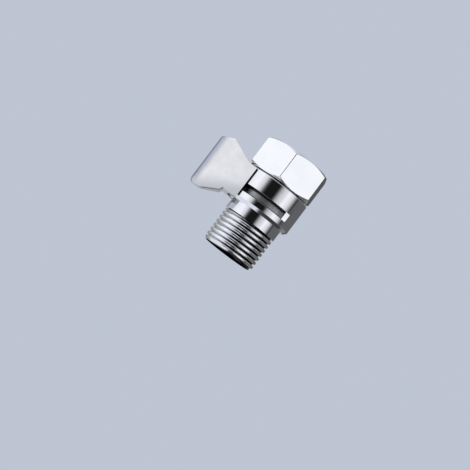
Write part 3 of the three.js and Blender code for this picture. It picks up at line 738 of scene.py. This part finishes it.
@dataclass
class ValveBody:
    """The chromed barrel with the lever's slot, the spigot below it and the outlet's male thread.

    Args:
        barrel_length: The barrel's length.
        top_edge: The round at its inlet end.
        foot_edge: The chamfer at its outlet end.
        spigot_r: The spigot's radius.
        spigot_length: The spigot's length.
        floor: The thickness of the barrel's floor.
        collar_seat: How deep the tailpiece's collar goes in.
        collar_step: How much wider than the rotor that collar is.
        running_gap: The clearance round the rotor.
        stem_step: How much narrower than the rotor its stem is.
        outlet_bore_r: The outlet's bore.
        edge: The round of small edges.
        thread_lead: The chamfer at the thread's end.
        slot_width: The slot's width.
        slot_rise: The height of the slot's middle above the barrel's foot.
        slot_edge: The chamfer along the slot.
        end_play_deg: The room that the stud has at each end of the slot.
        flare_deg: How far the slot's far end opens from square.
        slot_steps: Strips in the bar that cuts the slot.
        run_out: How steeply the thread runs out under the spigot.
        thread: The thread's form.
    """

    barrel_length: float = 13.2
    top_edge: float = 0.4
    foot_edge: float = 1.2
    spigot_r: float = 10.62
    spigot_length: float = 4.08
    floor: float = 2.0
    collar_seat: float = 4.25
    collar_step: float = 0.8
    running_gap: float = 0.12
    stem_step: float = 2.6
    outlet_bore_r: float = 7.0
    edge: float = 0.15
    thread_lead: float = 1.0
    slot_width: float = 3.1
    slot_rise: float = 4.98
    slot_edge: float = 0.22
    end_play_deg: float = 2.4
    flare_deg: float = 14.0
    slot_steps: int = 24
    run_out: float = 2.0
    thread: PipeThread = PipeThread()

    def __post_init__(self) -> None:
        """Takes the main radii, heights and the slot's arc from the frame."""
        body, rotor, stud = Reach.of("valve_body"), Reach.of("rotor"), Reach.of("drive_stud")
        self.barrel_r = body.high.x
        self.top, self.outlet = body.high.z, body.low.z
        self.foot = self.top - self.barrel_length
        self.spigot_end = self.foot - self.spigot_length
        self.rotor_r, self.stem_end = rotor.high.y, rotor.low.z
        self.bore_r = self.rotor_r + self.running_gap
        travel = next(joint for joint in frame["joints"] if joint["name"] == "lever_turn")["range_deg"][1]
        half_stud = math.degrees(math.asin(stud.high.y / self.barrel_r)) + self.end_play_deg
        self.slot_start = math.radians(180 - half_stud)
        self.slot_arc = math.radians(travel + 2 * half_stud)
        self.slot_low = self.foot + self.slot_rise - self.slot_width / 2
        self.slot_high = self.slot_low + self.slot_width

    def build(self, dressing: Dressing) -> list[bpy.types.Object]:
        """Models the body in one piece.

        Args:
            dressing: The materials.

        Returns:
            The piece.
        """
        bm = carved(spun(self._section()), self._slot_cutter())
        self._ease_slot(bm)
        between = [face for face in bm.faces if self._spans_thread(face)]
        bmesh.ops.delete(bm, geom=between, context="FACES")
        taken_in(bm, self.thread.ribbon(self.outlet, self.spigot_end, self._thread_limit))
        for height in (self.outlet, self.spigot_end):
            bmesh.ops.bridge_loops(bm, edges=rim(bm, height))
        return [dressing.place(bm, "valve_body_shell", "valve", "chrome_body", "valve_body")]

    def _thread_limit(self, radius: float, height: float) -> float:
        """Keeps the thread inside the chamfer at its end, and lets it run out under the spigot."""
        lead = self.thread.major_r - self.thread_lead + (height - self.outlet)
        run_out = self.thread.minor_r + (self.spigot_end - height) * self.run_out
        return min(radius, lead, run_out)

    def _section(self) -> bmesh.types.BMesh:
        """Half the body's section, with one straight side where the thread will be."""
        stem_r = self.bore_r - self.stem_step
        collar_r = self.rotor_r + self.collar_step
        floor = self.foot + self.floor
        stem_floor = self.stem_end - self.edge * 2
        return profile([
            Corner(self.spigot_r, self.spigot_end),
            Corner(self.spigot_r, self.foot),
            Corner(self.barrel_r - self.foot_edge, self.foot, self.edge),
            Corner(self.barrel_r, self.foot + self.foot_edge, self.edge),
            Corner(self.barrel_r, self.top, self.top_edge),
            Corner(collar_r, self.top, self.edge),
            Corner(collar_r, self.top - self.collar_seat),
            Corner(self.bore_r, self.top - self.collar_seat),
            Corner(self.bore_r, floor),
            Corner(stem_r, floor, self.edge),
            Corner(stem_r, stem_floor),
            Corner(self.outlet_bore_r, stem_floor, self.edge),
            Corner(self.outlet_bore_r, self.outlet, self.edge * 2),
            Corner(self.thread.major_r - self.thread_lead, self.outlet),
        ])

    def _spans_thread(self, face: bmesh.types.BMFace) -> bool:
        """Whether a face is the straight side that the thread takes the place of."""
        heights = [vert.co.z for vert in face.verts]
        return abs(min(heights) - self.outlet) < ON_PLANE and abs(max(heights) - self.spigot_end) < ON_PLANE

    def _slot_cutter(self) -> bmesh.types.BMesh:
        """A curved bar as wide as the slot, square at its start and flared at its end."""
        inner, outer = self.rotor_r - PAST, self.barrel_r + PAST
        bm = profile([Corner(inner, self.slot_low), Corner(outer, self.slot_low),
                      Corner(outer, self.slot_high), Corner(inner, self.slot_high)])
        bmesh.ops.rotate(bm, cent=ORIGIN, matrix=Matrix.Rotation(self.slot_start, 3, AXIS), verts=bm.verts)
        spun(bm, steps=self.slot_steps, angle=self.slot_arc)
        bmesh.ops.holes_fill(bm, edges=bm.edges[:], sides=4)
        end = Matrix.Rotation(self.slot_start + self.slot_arc, 3, AXIS) @ Vector((1.0, 0.0, 0.0))
        flare = math.radians(self.flare_deg)
        for vert in bm.verts:
            flat = Vector((vert.co.x, vert.co.y, 0.0))
            if flat.angle(end) < WELD:
                turn = flare - math.asin(self.bore_r * math.sin(flare) / flat.length)
                vert.co.rotate(Matrix.Rotation(turn, 3, AXIS))
        return bm

    def _ease_slot(self, bm: bmesh.types.BMesh) -> None:
        """Joins the strips of the slot's two sides, and chamfers its outer edges."""
        sides = [edge for edge in bm.edges if edge.calc_face_angle(FULL_TURN) < COPLANAR
                 and any(abs(vert.co.z - height) < WELD for height in (self.slot_low, self.slot_high)
                         for vert in edge.verts)]
        bmesh.ops.dissolve_edges(bm, edges=sides, use_verts=True, use_face_split=False)
        edges = [edge for edge in bm.edges if edge.calc_face_angle(0.0) > SHARP
                 and all(math.hypot(vert.co.x, vert.co.y) > self.barrel_r - ON_WALL
                         and self.slot_low - ON_PLANE < vert.co.z < self.slot_high + ON_PLANE
                         for vert in edge.verts)]
        eased(bm, edges, self.slot_edge, steps=2)


@dataclass
class SwivelNut:
    """The hexagon nut that swivels on the tailpiece's neck, with its female thread.

    Args:
        across_flats: Its width across flats.
        corner_deg: Where one corner points, as an angle from +X.
        chamfer_r: The radius of its end faces.
        chamfer_deg: The slope of its chamfers.
        lip: The thickness of the lip that the retaining ring holds.
        lip_r: The bore through that lip.
        relief_r: The radius below the thread.
        relief_top: Where the thread starts.
        mouth_r: The radius of the thread's mouth.
        mouth_lead: How far the mouth's cone goes before the thread is full.
        edge: The round of its edges.
        steps: Strips in the turned blank, a whole number to each corner.
        thread: The thread's form.
    """

    across_flats: float = 25.2
    corner_deg: float = 263.6
    chamfer_r: float = 12.2
    chamfer_deg: float = 30.0
    lip: float = 1.5
    lip_r: float = 8.55
    relief_r: float = 10.7
    relief_top: float = 0.8
    mouth_r: float = 10.9
    mouth_lead: float = 0.35
    edge: float = 0.15
    steps: int = 144
    thread: PipeThread = PipeThread(minor_r=9.32, crest=0.3, root=0.36)

    def __post_init__(self) -> None:
        """Takes the heights from the frame."""
        nut = Reach.of("swivel_nut")
        self.top, self.bottom = nut.high.z, nut.low.z
        self.corner_r = self.across_flats / 2 / math.cos(math.pi / 6)
        self.slope = math.tan(math.radians(self.chamfer_deg))

    def build(self, dressing: Dressing) -> list[bpy.types.Object]:
        """Models the nut in one piece.

        Args:
            dressing: The materials.

        Returns:
            The piece.
        """
        bm = self._blank()
        self._mill_flats(bm)
        self._ease_flats(bm)
        thread_top = self.top - self.mouth_lead - self.edge
        taken_in(bm, self.thread.ribbon(self.relief_top, thread_top, self._thread_limit))
        bmesh.ops.bridge_loops(bm, edges=rim(bm, self.relief_top))
        bmesh.ops.bridge_loops(bm, edges=rim(bm, thread_top) + rim(bm, self.top - self.mouth_lead))
        return [dressing.place(bm, "swivel_nut_shell", "nut", "chrome_nut", "swivel_nut")]

    def _thread_limit(self, radius: float, height: float) -> float:
        """Opens the thread into the cone of its mouth."""
        return max(radius, self.mouth_r - (self.top - height))

    def _blank(self) -> bmesh.types.BMesh:
        """The turned blank, chamfered at both ends and open along the thread."""
        blank_r = self.corner_r + PAST
        drop = (blank_r - self.chamfer_r) * self.slope
        section = profile([
            Corner(self.relief_r, self.relief_top),
            Corner(self.relief_r, self.bottom + self.lip),
            Corner(self.lip_r, self.bottom + self.lip, self.edge / 2),
            Corner(self.lip_r, self.bottom, self.edge / 2),
            Corner(self.chamfer_r, self.bottom, self.edge / 2),
            Corner(blank_r, self.bottom + drop),
            Corner(blank_r, self.top - drop),
            Corner(self.chamfer_r, self.top, self.edge / 2),
            Corner(self.mouth_r, self.top, self.edge / 2),
            Corner(self.mouth_r - self.mouth_lead, self.top - self.mouth_lead),
        ], closed=False)
        to_corner = Matrix.Rotation(math.radians(self.corner_deg), 3, AXIS)
        bmesh.ops.rotate(section, cent=ORIGIN, matrix=to_corner, verts=section.verts)
        return spun(section, steps=self.steps)

    def _flats(self) -> Iterable[Vector]:
        """The outward directions of the six flats."""
        for index in range(6):
            angle = math.radians(self.corner_deg + 30 + 60 * index)
            yield Vector((math.cos(angle), math.sin(angle), 0.0))

    def _mill_flats(self, bm: bmesh.types.BMesh) -> None:
        """Cuts the six flats and closes each with one face."""
        for outwards in self._flats():
            bmesh.ops.edgeloop_fill(bm, edges=sliced(bm, outwards * self.across_flats / 2, outwards))

    def _ease_flats(self, bm: bmesh.types.BMesh) -> None:
        """Rounds the edges of the flats, and trims what stands out where three rounds meet."""
        edges = {edge for outwards in self._flats() for face in bm.faces
                 if face.normal.length and all(abs(vert.co.dot(outwards) - self.across_flats / 2) < ON_PLANE
                                               for vert in face.verts)
                 for edge in face.edges}
        eased(bm, list(edges), self.edge, steps=3)
        rounded_r = self.corner_r - self.edge / 6
        for vert in bm.verts:
            radius = math.hypot(vert.co.x, vert.co.y)
            if radius > rounded_r:
                vert.co.xy *= rounded_r / radius
            drop = max(min(radius, rounded_r) - self.chamfer_r, 0.0) * self.slope
            vert.co.z = min(max(vert.co.z, self.bottom + drop), self.top - drop)


@dataclass
class Lever:
    """The cast thumb lever: a wedge that hugs the barrel, with a fan-shaped front and a round nose.

    Args:
        base: Where its inner end lies, as a distance from the valve axis.
        saddle_half: Its half thickness there.
        tip_half: The half thickness that its two sides would reach at the nose, were it not round.
        nose_steps: The facets of each half of the nose.
        neck_half: Half its neck's height.
        inlet_neck: Where the neck ends on the inlet's side.
        outlet_neck: Where it ends on the outlet's side.
        neck_step: The step at that end.
        step_run: How far along that step climbs.
        fan_at: Where the fan is widest.
        corner_at: Where its rounded corner starts on the outlet's side.
        corner_steps: The facets of that corner.
        fan_top_half: Half its height at the nose.
        edge: The round of its edges.
        bend: The round where its flanks change direction.
        saddle_gap: The clearance to the barrel.
        saddle_reach: How tall the saddle's cut is, which goes past the lever's ends.
        bore_gap: The clearance round the stud and the grub screw.
        end_gap: The clearance past the stud's end.
    """

    base: float = 9.9
    saddle_half: float = 9.2
    tip_half: float = 1.4
    nose_steps: int = 12
    neck_half: float = 6.5
    inlet_neck: float = 12.7
    outlet_neck: float = 15.4
    neck_step: float = 1.1
    step_run: float = 0.5
    fan_at: float = 22.5
    corner_at: float = 25.7
    corner_steps: int = 8
    fan_top_half: float = 9.0
    edge: float = 0.5
    bend: float = 0.8
    saddle_gap: float = 0.25
    saddle_reach: float = 26.0
    bore_gap: float = 0.1
    end_gap: float = 0.3

    def __post_init__(self) -> None:
        """Takes the lever's reach and its neighbours' places from the frame."""
        lever, body = Reach.of("lever"), Reach.of("valve_body")
        self.top = -lever.low.x
        self.middle = lever.middle_z
        self.fan_half = (lever.high.z - lever.low.z) / 2
        self.barrel_r = body.high.x
        self.stud, self.screw = Reach.of("drive_stud"), Reach.of("lever_grub_screw")

    def build(self, dressing: Dressing) -> list[bpy.types.Object]:
        """Models the lever in one piece.

        Args:
            dressing: The materials.

        Returns:
            The piece.
        """
        bm = carved(self._fan(), self._wedge(), "INTERSECT")
        self._ease(bm)
        for cutter in self._cutters():
            bm = carved(bm, cutter)
        return [dressing.place(bm, "lever_casting", "lever_and_rotor", "chrome_lever", "lever")]

    def _wedge(self) -> bmesh.types.BMesh:
        """The wedge with its round nose, seen along the valve axis, as tall as the fan."""
        outline = profile([
            Corner(-self.base, self.saddle_half),
            Corner(-self.top, self.tip_half, self.tip_half - WELD, self.nose_steps),
            Corner(-self.top, -self.tip_half, self.tip_half - WELD, self.nose_steps),
            Corner(-self.base, -self.saddle_half),
        ])
        place = Matrix.Translation((0.0, 0.0, self.middle)) @ FORWARDS
        bmesh.ops.transform(outline, matrix=place, verts=outline.verts)
        return prism(outline, AXIS * (self.fan_half + self.edge))

    def _fan(self) -> bmesh.types.BMesh:
        """The fan's outline, seen from the front, as deep as the wedge."""
        inlet = [(self.base, self.neck_half, 0.0), (self.inlet_neck, self.neck_half, self.bend),
                 (self.fan_at, self.fan_half, self.bend), (self.top, self.fan_top_half, 0.0)]
        outlet = [(self.fan_at, self.fan_half, self.bend),
                  (self.outlet_neck + self.step_run, self.neck_half + self.neck_step, self.step_run / 3),
                  (self.outlet_neck, self.neck_half, self.step_run / 3), (self.base, self.neck_half, 0.0)]
        outline = profile([
            *(Corner(-distance, self.middle + half, ease) for distance, half, ease in inlet),
            *self._round_corner(),
            *(Corner(-distance, self.middle - half, ease) for distance, half, ease in outlet),
        ])
        return prism(outline, Vector((0.0, self.saddle_half + self.edge, 0.0)))

    def _round_corner(self) -> Iterable[Corner]:
        """The fan's rounded outer corner on the outlet's side, a quarter of an ellipse."""
        for step in range(self.corner_steps, -1, -1):
            angle = math.pi / 2 * step / self.corner_steps
            distance = self.corner_at + (self.top - self.corner_at) * math.sin(angle)
            half = self.fan_top_half + (self.fan_half - self.fan_top_half) * math.cos(angle)
            yield Corner(-distance, self.middle - half)

    def _ease(self, bm: bmesh.types.BMesh) -> None:
        """Rounds the edges between the lever's flanks and its two sides, and round its nose."""
        rims = [edge for edge in bm.edges if edge.calc_face_angle(0.0) > SHARP
                and min(vert.co.x for vert in edge.verts) < -self.base - ON_PLANE]
        eased(bm, rims, self.edge, clamped=False)

    def _cutters(self) -> Iterable[bmesh.types.BMesh]:
        """What is cut out of the lever: the saddle, the stud's socket and the grub screw's hole."""
        middle = Matrix.Translation((0.0, 0.0, self.middle))
        yield round_bar(self.barrel_r + self.saddle_gap, self.saddle_reach, middle, TURN_STEPS)
        stud_r = self.stud.high.y + self.bore_gap
        stud_end = -self.stud.low.x + self.end_gap
        height = self.stud.middle_z
        yield round_bar(stud_r, stud_end, Matrix.Translation((-stud_end / 2, 0.0, height)) @ ACROSS)
        screw_r = (self.screw.high.x - self.screw.low.x) / 2 + self.bore_gap
        place = Matrix.Translation(((self.screw.low.x + self.screw.high.x) / 2, self.saddle_half, height))
        yield round_bar(screw_r, 2 * self.saddle_half, place @ FORWARDS)


@dataclass
class Rotor:
    """The satin rotor that shows at the bottom of the slot, with its stem, its grooves and its dogs.

    Args:
        shoulder: How far its drum reaches down from its top.
        stem_step: How much narrower than the drum its stem is.
        wall: The stem's wall.
        rim: The wall round the pocket for the disc.
        pocket: That pocket's depth.
        groove_width: An O-ring groove's width.
        groove_depth: Its depth.
        edge: The round of its edges.
        dog_width: A dog's width.
        dog_reach: How far a dog reaches into the disc.
        bore_gap: The clearance round the stud.
        end_gap: The clearance past the stud's end.
        steps: Strips in the turned part.
    """

    shoulder: float = 5.45
    stem_step: float = 2.6
    wall: float = 1.8
    rim: float = 1.5
    pocket: float = 1.0
    groove_width: float = 1.1
    groove_depth: float = 0.9
    edge: float = 0.15
    dog_width: float = 2.6
    dog_reach: float = 1.7
    bore_gap: float = 0.1
    end_gap: float = 0.3
    steps: int = 192

    def __post_init__(self) -> None:
        """Takes the drum's radius and its heights from the frame."""
        rotor = Reach.of("rotor")
        self.drum_r, self.top, self.bottom = rotor.high.y, rotor.high.z, rotor.low.z
        self.stem_r = self.drum_r - self.stem_step
        self.stud = Reach.of("drive_stud")

    def build(self, dressing: Dressing) -> list[bpy.types.Object]:
        """Models the rotor in one piece.

        Args:
            dressing: The materials.

        Returns:
            The piece.
        """
        bm = carved(self._drum(), self._dog(0.0), "UNION")
        bm = carved(bm, self._dog(math.pi), "UNION")
        inner = -self.stud.high.x - self.end_gap
        outer = self.drum_r + PAST
        place = Matrix.Translation((-(inner + outer) / 2, 0.0, self.stud.middle_z))
        socket = round_bar(self.stud.high.y + self.bore_gap, outer - inner, place @ ACROSS)
        return [dressing.place(carved(bm, socket), "rotor_drum", "lever_and_rotor", "satin_metal", "rotor")]

    def _groove(self, radius: float, node: str) -> list[Corner]:
        """The corners of the groove that holds an O-ring, from below."""
        middle = Reach.of(node).middle_z
        low, high = middle - self.groove_width / 2, middle + self.groove_width / 2
        floor = radius - self.groove_depth
        return [Corner(radius, low, self.edge / 2), Corner(floor, low), Corner(floor, high),
                Corner(radius, high, self.edge / 2)]

    def _drum(self) -> bmesh.types.BMesh:
        """The turned part of the rotor."""
        step = self.top - self.shoulder
        pocket_r, bore_r = self.drum_r - self.rim, self.stem_r - self.wall
        return spun(profile([
            Corner(bore_r, self.bottom, self.edge),
            Corner(self.stem_r, self.bottom, self.edge),
            *self._groove(self.stem_r, "rotor_end_oring"),
            *self._groove(self.stem_r, "rotor_lower_oring"),
            Corner(self.stem_r, step),
            Corner(self.drum_r, step, self.edge),
            *self._groove(self.drum_r, "rotor_upper_oring"),
            Corner(self.drum_r, self.top, self.edge / 2),
            Corner(pocket_r, self.top, self.edge / 2),
            Corner(pocket_r, self.top - self.pocket),
            Corner(bore_r, self.top - self.pocket),
        ]), steps=self.steps)

    def _dog(self, angle: float) -> bmesh.types.BMesh:
        """One of the two keys that turn the moving disc."""
        outer = self.drum_r - self.groove_depth
        inner = self.drum_r - self.rim - self.dog_reach
        bm = bmesh.new()
        size = Matrix.Diagonal((outer - inner, self.dog_width, self.pocket + self.edge, 1.0))
        place = Matrix.Translation(((inner + outer) / 2, 0.0, self.top - (self.pocket + self.edge) / 2))
        bmesh.ops.create_cube(bm, size=1.0, matrix=Matrix.Rotation(angle, 4, "Z") @ place @ size)
        return bm


@dataclass
class InletSeat:
    """What shows inside the nut: the washer, and the crimped rim of the filter with its woven screen.

    Args:
        washer_bore_r: The washer's bore.
        seat_depth: The depth of the filter's seat in it.
        rim_bore_r: The rim's bore.
        seat_gap: The clearance round the rim.
        edge: The round of the edges.
        wire_r: The radius of the screen's wire.
        wire_pitch: The distance from wire to wire.
        grip: How far the wires reach into the rim.
        steps: Strips in the washer and the rim.
    """

    washer_bore_r: float = 5.8
    seat_depth: float = 0.8
    rim_bore_r: float = 6.3
    seat_gap: float = 0.1
    edge: float = 0.18
    wire_r: float = 0.08
    wire_pitch: float = 0.52
    grip: float = 0.25
    steps: int = 144

    def build(self, dressing: Dressing) -> list[bpy.types.Object]:
        """Models the three pieces.

        Args:
            dressing: The materials.

        Returns:
            The washer, the rim and the screen.
        """
        return [
            dressing.place(self._washer(), "washer_ring", "valve", "black_rubber", "inlet_washer"),
            dressing.place(self._rim(), "filter_rim_ring", "valve", "stainless", "filter_rim"),
            dressing.place(self._screen(), "filter_weave", "valve", "stainless", "filter_screen"),
        ]

    def _washer(self) -> bmesh.types.BMesh:
        """The moulded washer, with a seat for the filter."""
        washer, rim_box = Reach.of("inlet_washer"), Reach.of("filter_rim")
        seat_r = rim_box.high.x + self.seat_gap
        return spun(profile([
            Corner(self.washer_bore_r, washer.low.z, self.edge),
            Corner(washer.high.x, washer.low.z, self.edge),
            Corner(washer.high.x, washer.high.z, self.edge),
            Corner(seat_r, washer.high.z, self.edge / 2),
            Corner(seat_r, washer.high.z - self.seat_depth),
            Corner(self.washer_bore_r, washer.high.z - self.seat_depth, self.edge),
        ]), steps=self.steps)

    def _rim(self) -> bmesh.types.BMesh:
        """The pressed rim, folded over the edge of the screen."""
        box = Reach.of("filter_rim")
        slit = 2 * self.wire_r + self.seat_gap / 5
        grip_r = self.rim_bore_r + self.grip * 2
        return spun(profile([
            Corner(self.rim_bore_r, box.low.z, self.edge / 2),
            Corner(box.high.x, box.low.z, self.edge),
            Corner(box.high.x, box.high.z, self.edge),
            Corner(self.rim_bore_r, box.high.z, self.edge / 2),
            Corner(self.rim_bore_r, box.middle_z + slit, self.edge / 4),
            Corner(grip_r, box.middle_z + slit),
            Corner(grip_r, box.middle_z - slit),
            Corner(self.rim_bore_r, box.middle_z - slit, self.edge / 4),
        ]), steps=self.steps)

    def _screen(self) -> bmesh.types.BMesh:
        """The woven screen: wires both ways, each over one and under the next."""
        height = Reach.of("filter_screen").middle_z
        reach = self.rim_bore_r + self.grip
        count = math.floor(reach / self.wire_pitch)
        curve = bpy.data.curves.new("wires", "CURVE")
        curve.dimensions = "3D"
        curve.bevel_depth = self.wire_r
        curve.bevel_resolution = 1
        curve.use_fill_caps = True
        for turned in (False, True):
            for row in range(-count, count + 1):
                across = row * self.wire_pitch
                length = math.sqrt(reach * reach - across * across)
                bends = math.floor(2 * length / self.wire_pitch)
                spline = curve.splines.new("POLY")
                spline.points.add(2 * bends)
                for index, point in enumerate(spline.points):
                    along = (index - bends) * self.wire_pitch / 2
                    phase = math.pi * (along / self.wire_pitch + row + turned)
                    lift = height + self.wire_r * math.cos(phase)
                    spot = (across, along, lift) if turned else (along, across, lift)
                    point.co = (*spot, 1.0)
        wires = bpy.data.objects.new("wires", curve)
        mesh = wires.to_mesh()
        bm = bmesh.new()
        bm.from_mesh(mesh)
        wires.to_mesh_clear()
        bpy.data.objects.remove(wires)
        bpy.data.curves.remove(curve)
        return bm


@dataclass(frozen=True)
class Shot:
    """Where the camera stands: a little below the valve, which leans over to the right.

    Args:
        target: The point in the middle of the picture, in millimetres.
        distance: The camera's distance from it, in millimetres.
        below_deg: How far the camera looks up.
        lean_deg: How far the valve axis leans from upright in the picture.
        width: What the picture takes in at the target, in millimetres.
    """

    target: Triple = (-1.81, 0.0, -28.98)
    distance: float = 560.0
    below_deg: float = 3.9
    lean_deg: float = 37.0
    width: float = 170.3

    def set_up(self) -> bpy.types.Object:
        """Makes the camera and the scene's view of it, and returns the camera."""
        below, lean = math.radians(self.below_deg), math.radians(self.lean_deg)
        forward = Vector((0.0, math.cos(below), math.sin(below)))
        upright = Vector((0.0, -math.sin(below), math.cos(below)))
        aside = Vector((1.0, 0.0, 0.0))
        right = aside * math.cos(lean) + upright * math.sin(lean)
        up = upright * math.cos(lean) - aside * math.sin(lean)
        camera = bpy.data.cameras.new("camera")
        camera.lens = camera.sensor_width * self.distance / self.width
        camera.clip_start = MM
        holder = bpy.data.objects.new("camera", camera)
        place = Matrix((right, up, -forward)).transposed().to_4x4()
        place.translation = (Vector(self.target) - forward * self.distance) * MM
        holder.matrix_world = place
        bpy.context.scene.collection.objects.link(holder)
        bpy.context.scene.camera = holder
        return holder


@dataclass(frozen=True)
class Lamp:
    """A soft lamp that lights what isn't mirror-bright.

    Args:
        name: Its name.
        azimuth_deg: Where it stands, from the front towards +X.
        elevation_deg: How high it stands.
        distance: How far off it is, in metres.
        size: The side of its square, in metres.
        power: Its power, in watts.
    """

    name: str
    azimuth_deg: float
    elevation_deg: float
    distance: float
    size: float
    power: float

    def set_up(self, target: Vector) -> None:
        """Makes the lamp and turns it to the target."""
        azimuth, elevation = math.radians(self.azimuth_deg), math.radians(self.elevation_deg)
        outwards = Vector((math.sin(azimuth) * math.cos(elevation), -math.cos(azimuth) * math.cos(elevation),
                           math.sin(elevation)))
        light = bpy.data.lights.new(self.name, "AREA")
        light.shape = "SQUARE"
        light.size = self.size
        light.energy = self.power
        holder = bpy.data.objects.new(self.name, light)
        holder.location = target + outwards * self.distance
        holder.rotation_euler = outwards.to_track_quat("Z", "Y").to_euler()
        holder.visible_camera = False
        holder.visible_glossy = False
        bpy.context.scene.collection.objects.link(holder)


class Studio:
    """The plain studio: a pale floor and backdrop, soft lamps, and the panels that the chrome mirrors."""

    backdrop: RGB = (0.515, 0.555, 0.650)
    floor_colour: RGB = (0.60, 0.63, 0.69)
    fill: RGB = (0.50, 0.51, 0.53)
    caps_left: RGB = (0.80, 0.83, 0.92)
    caps_right: RGB = (0.05, 0.05, 0.055)
    caps_right_above: RGB = (0.50, 0.51, 0.54)
    floor_size = 1.2
    floor_roughness = 0.8
    mottle_scale = 14.0
    mottle_share = 0.97
    panel_tint: RGB = (0.985, 0.995, 1.03)

    # How steep a direction is where the dark panels get lighter, the brightness that they then have at least,
    # and how steep it is where the caps take over: 0 is level, 1 is straight up or down
    aslant = (0.16, 0.34)
    least_aslant = 0.24
    steep = (0.48, 0.68)

    # How far to the right a direction points where the left cap gives way to the right one
    sides = (-0.16, 0.02)

    # What a wall mirrors, by the direction from the front towards +X: degrees, then brightness
    panels = (
        (-180, 0.50), (-174, 0.45), (-166, 0.27), (-152, 0.30), (-138, 0.44), (-110, 0.68), (-88, 0.98),
        (-73, 1.06), (-60, 1.05), (-49, 0.86), (-44, 0.76), (-39, 0.54), (-34, 0.24), (-28, 0.05),
        (-22, 0.010), (5, 0.010), (10, 0.06), (15, 0.28), (22, 0.55), (30, 0.74), (36, 0.80), (41, 0.94),
        (47, 1.05), (60, 0.88), (68, 0.64), (76, 0.28), (83, 0.05), (94, 0.13), (157, 0.13),
        (169, 0.085), (175, 0.38), (180, 0.50),
    )
    lamps = (
        Lamp("key_lamp", -35.0, 50.0, 0.9, 0.6, 3.6),
        Lamp("side_lamp", 60.0, 35.0, 1.0, 0.6, 2.0),
        Lamp("back_lamp", 170.0, 55.0, 1.0, 0.7, 2.0),
    )

    def set_up(self) -> None:
        """Makes the world, the floor and the lamps."""
        self._world()
        self._floor()
        middle = (cad_box[0] + cad_box[1]) / 2
        for lamp in self.lamps:
            lamp.set_up(middle)

    def _world(self) -> None:
        """Panels for mirror reflections, an even fill for matt surfaces, and a plain backdrop."""
        world = bpy.data.worlds.new("studio")
        bpy.context.scene.world = world
        graph = Graph.of(world)
        towards = graph.add("SeparateXYZ", {0: graph.add("TexCoord").outputs["Generated"]})
        frontwards = graph.math("MULTIPLY", towards.outputs["Y"], -1.0)
        azimuth = graph.math("ARCTAN2", towards.outputs["X"], frontwards)
        share = graph.math("ADD", graph.math("DIVIDE", azimuth, FULL_TURN), 0.5)
        ramp = graph.add("ValToRGB", {0: share})
        self._fill_ramp(ramp.color_ramp)
        steepness = graph.math("ABSOLUTE", towards.outputs["Z"])
        lift = graph.eased(steepness, *self.aslant, last=self.least_aslant)
        walls = graph.vector("MAXIMUM", ramp.outputs[0], lift)
        capped = graph.eased(steepness, *self.steep)
        rightness = graph.eased(towards.outputs["X"], *self.sides)
        above = graph.math("GREATER_THAN", towards.outputs["Z"], 0.0)
        right = graph.mixed(above, self.caps_right, self.caps_right_above)
        caps = graph.mixed(rightness, self.caps_left, right)
        mirrored = graph.mixed(capped, walls, caps)
        ray = graph.add("LightPath")
        lit = graph.mixed(ray.outputs["Is Diffuse Ray"], mirrored, self.fill)
        seen = graph.mixed(ray.outputs["Is Camera Ray"], lit, self.backdrop)
        background = graph.add("Background", {"Color": seen})
        graph.add("OutputWorld", {"Surface": background.outputs[0]})

    def _fill_ramp(self, ramp: bpy.types.ColorRamp) -> None:
        """Sets the stops of the panels' ramp."""
        ramp.interpolation = "EASE"
        while len(ramp.elements) > 1:
            ramp.elements.remove(ramp.elements[-1])
        for index, (degrees, level) in enumerate(self.panels):
            place = degrees / 360 + 0.5
            stop = ramp.elements[0] if index == 0 else ramp.elements.new(place)
            stop.position = place
            stop.color = (*(level * channel for channel in self.panel_tint), 1.0)

    def _floor(self) -> None:
        """A pale floor that shows from above only, because the camera looks up past it."""
        bm = bmesh.new()
        bmesh.ops.create_grid(bm, x_segments=1, y_segments=1, size=self.floor_size / 2,
                              matrix=Matrix.Translation((0.0, 0.0, cad_box[0].z)))
        floor = shown(bm, "floor")
        floor.visible_glossy = False
        floor.data.materials.append(self._floor_material())

    def _floor_material(self) -> bpy.types.Material:
        """Matt pale paint with a faint mottle, clear from below."""
        material = bpy.data.materials.new("floor_paint")
        graph = Graph.of(material)
        darker = tuple(channel * self.mottle_share for channel in self.floor_colour)
        colour = graph.mixed(graph.noise(self.mottle_scale), self.floor_colour, darker)
        paint = graph.add("BsdfPrincipled", {"Base Color": colour, "Roughness": self.floor_roughness})
        mix = graph.add("MixShader", {0: graph.add("NewGeometry").outputs["Backfacing"],
                                      1: paint.outputs[0], 2: graph.add("BsdfTransparent").outputs[0]})
        graph.add("OutputMaterial", {"Surface": mix.outputs[0]})
        return material


def main() -> None:
    """Builds the valve's pieces, dresses the CAD nodes that still show, and sets up the studio."""
    logging.basicConfig(level=logging.INFO, format="%(name)s: %(message)s")
    bpy.context.scene.view_settings.view_transform = "Standard"
    Shot().set_up()
    dressing = Dressing()
    for assembly in (ValveBody(), SwivelNut(), Lever(), Rotor(), InletSeat()):
        pieces = assembly.build(dressing)
        LOG.info("%s: %s", type(assembly).__name__, ", ".join(piece.name for piece in pieces))
    dressing.cover_cad_nodes()
    Studio().set_up()


if __name__ == "__main__":
    main()
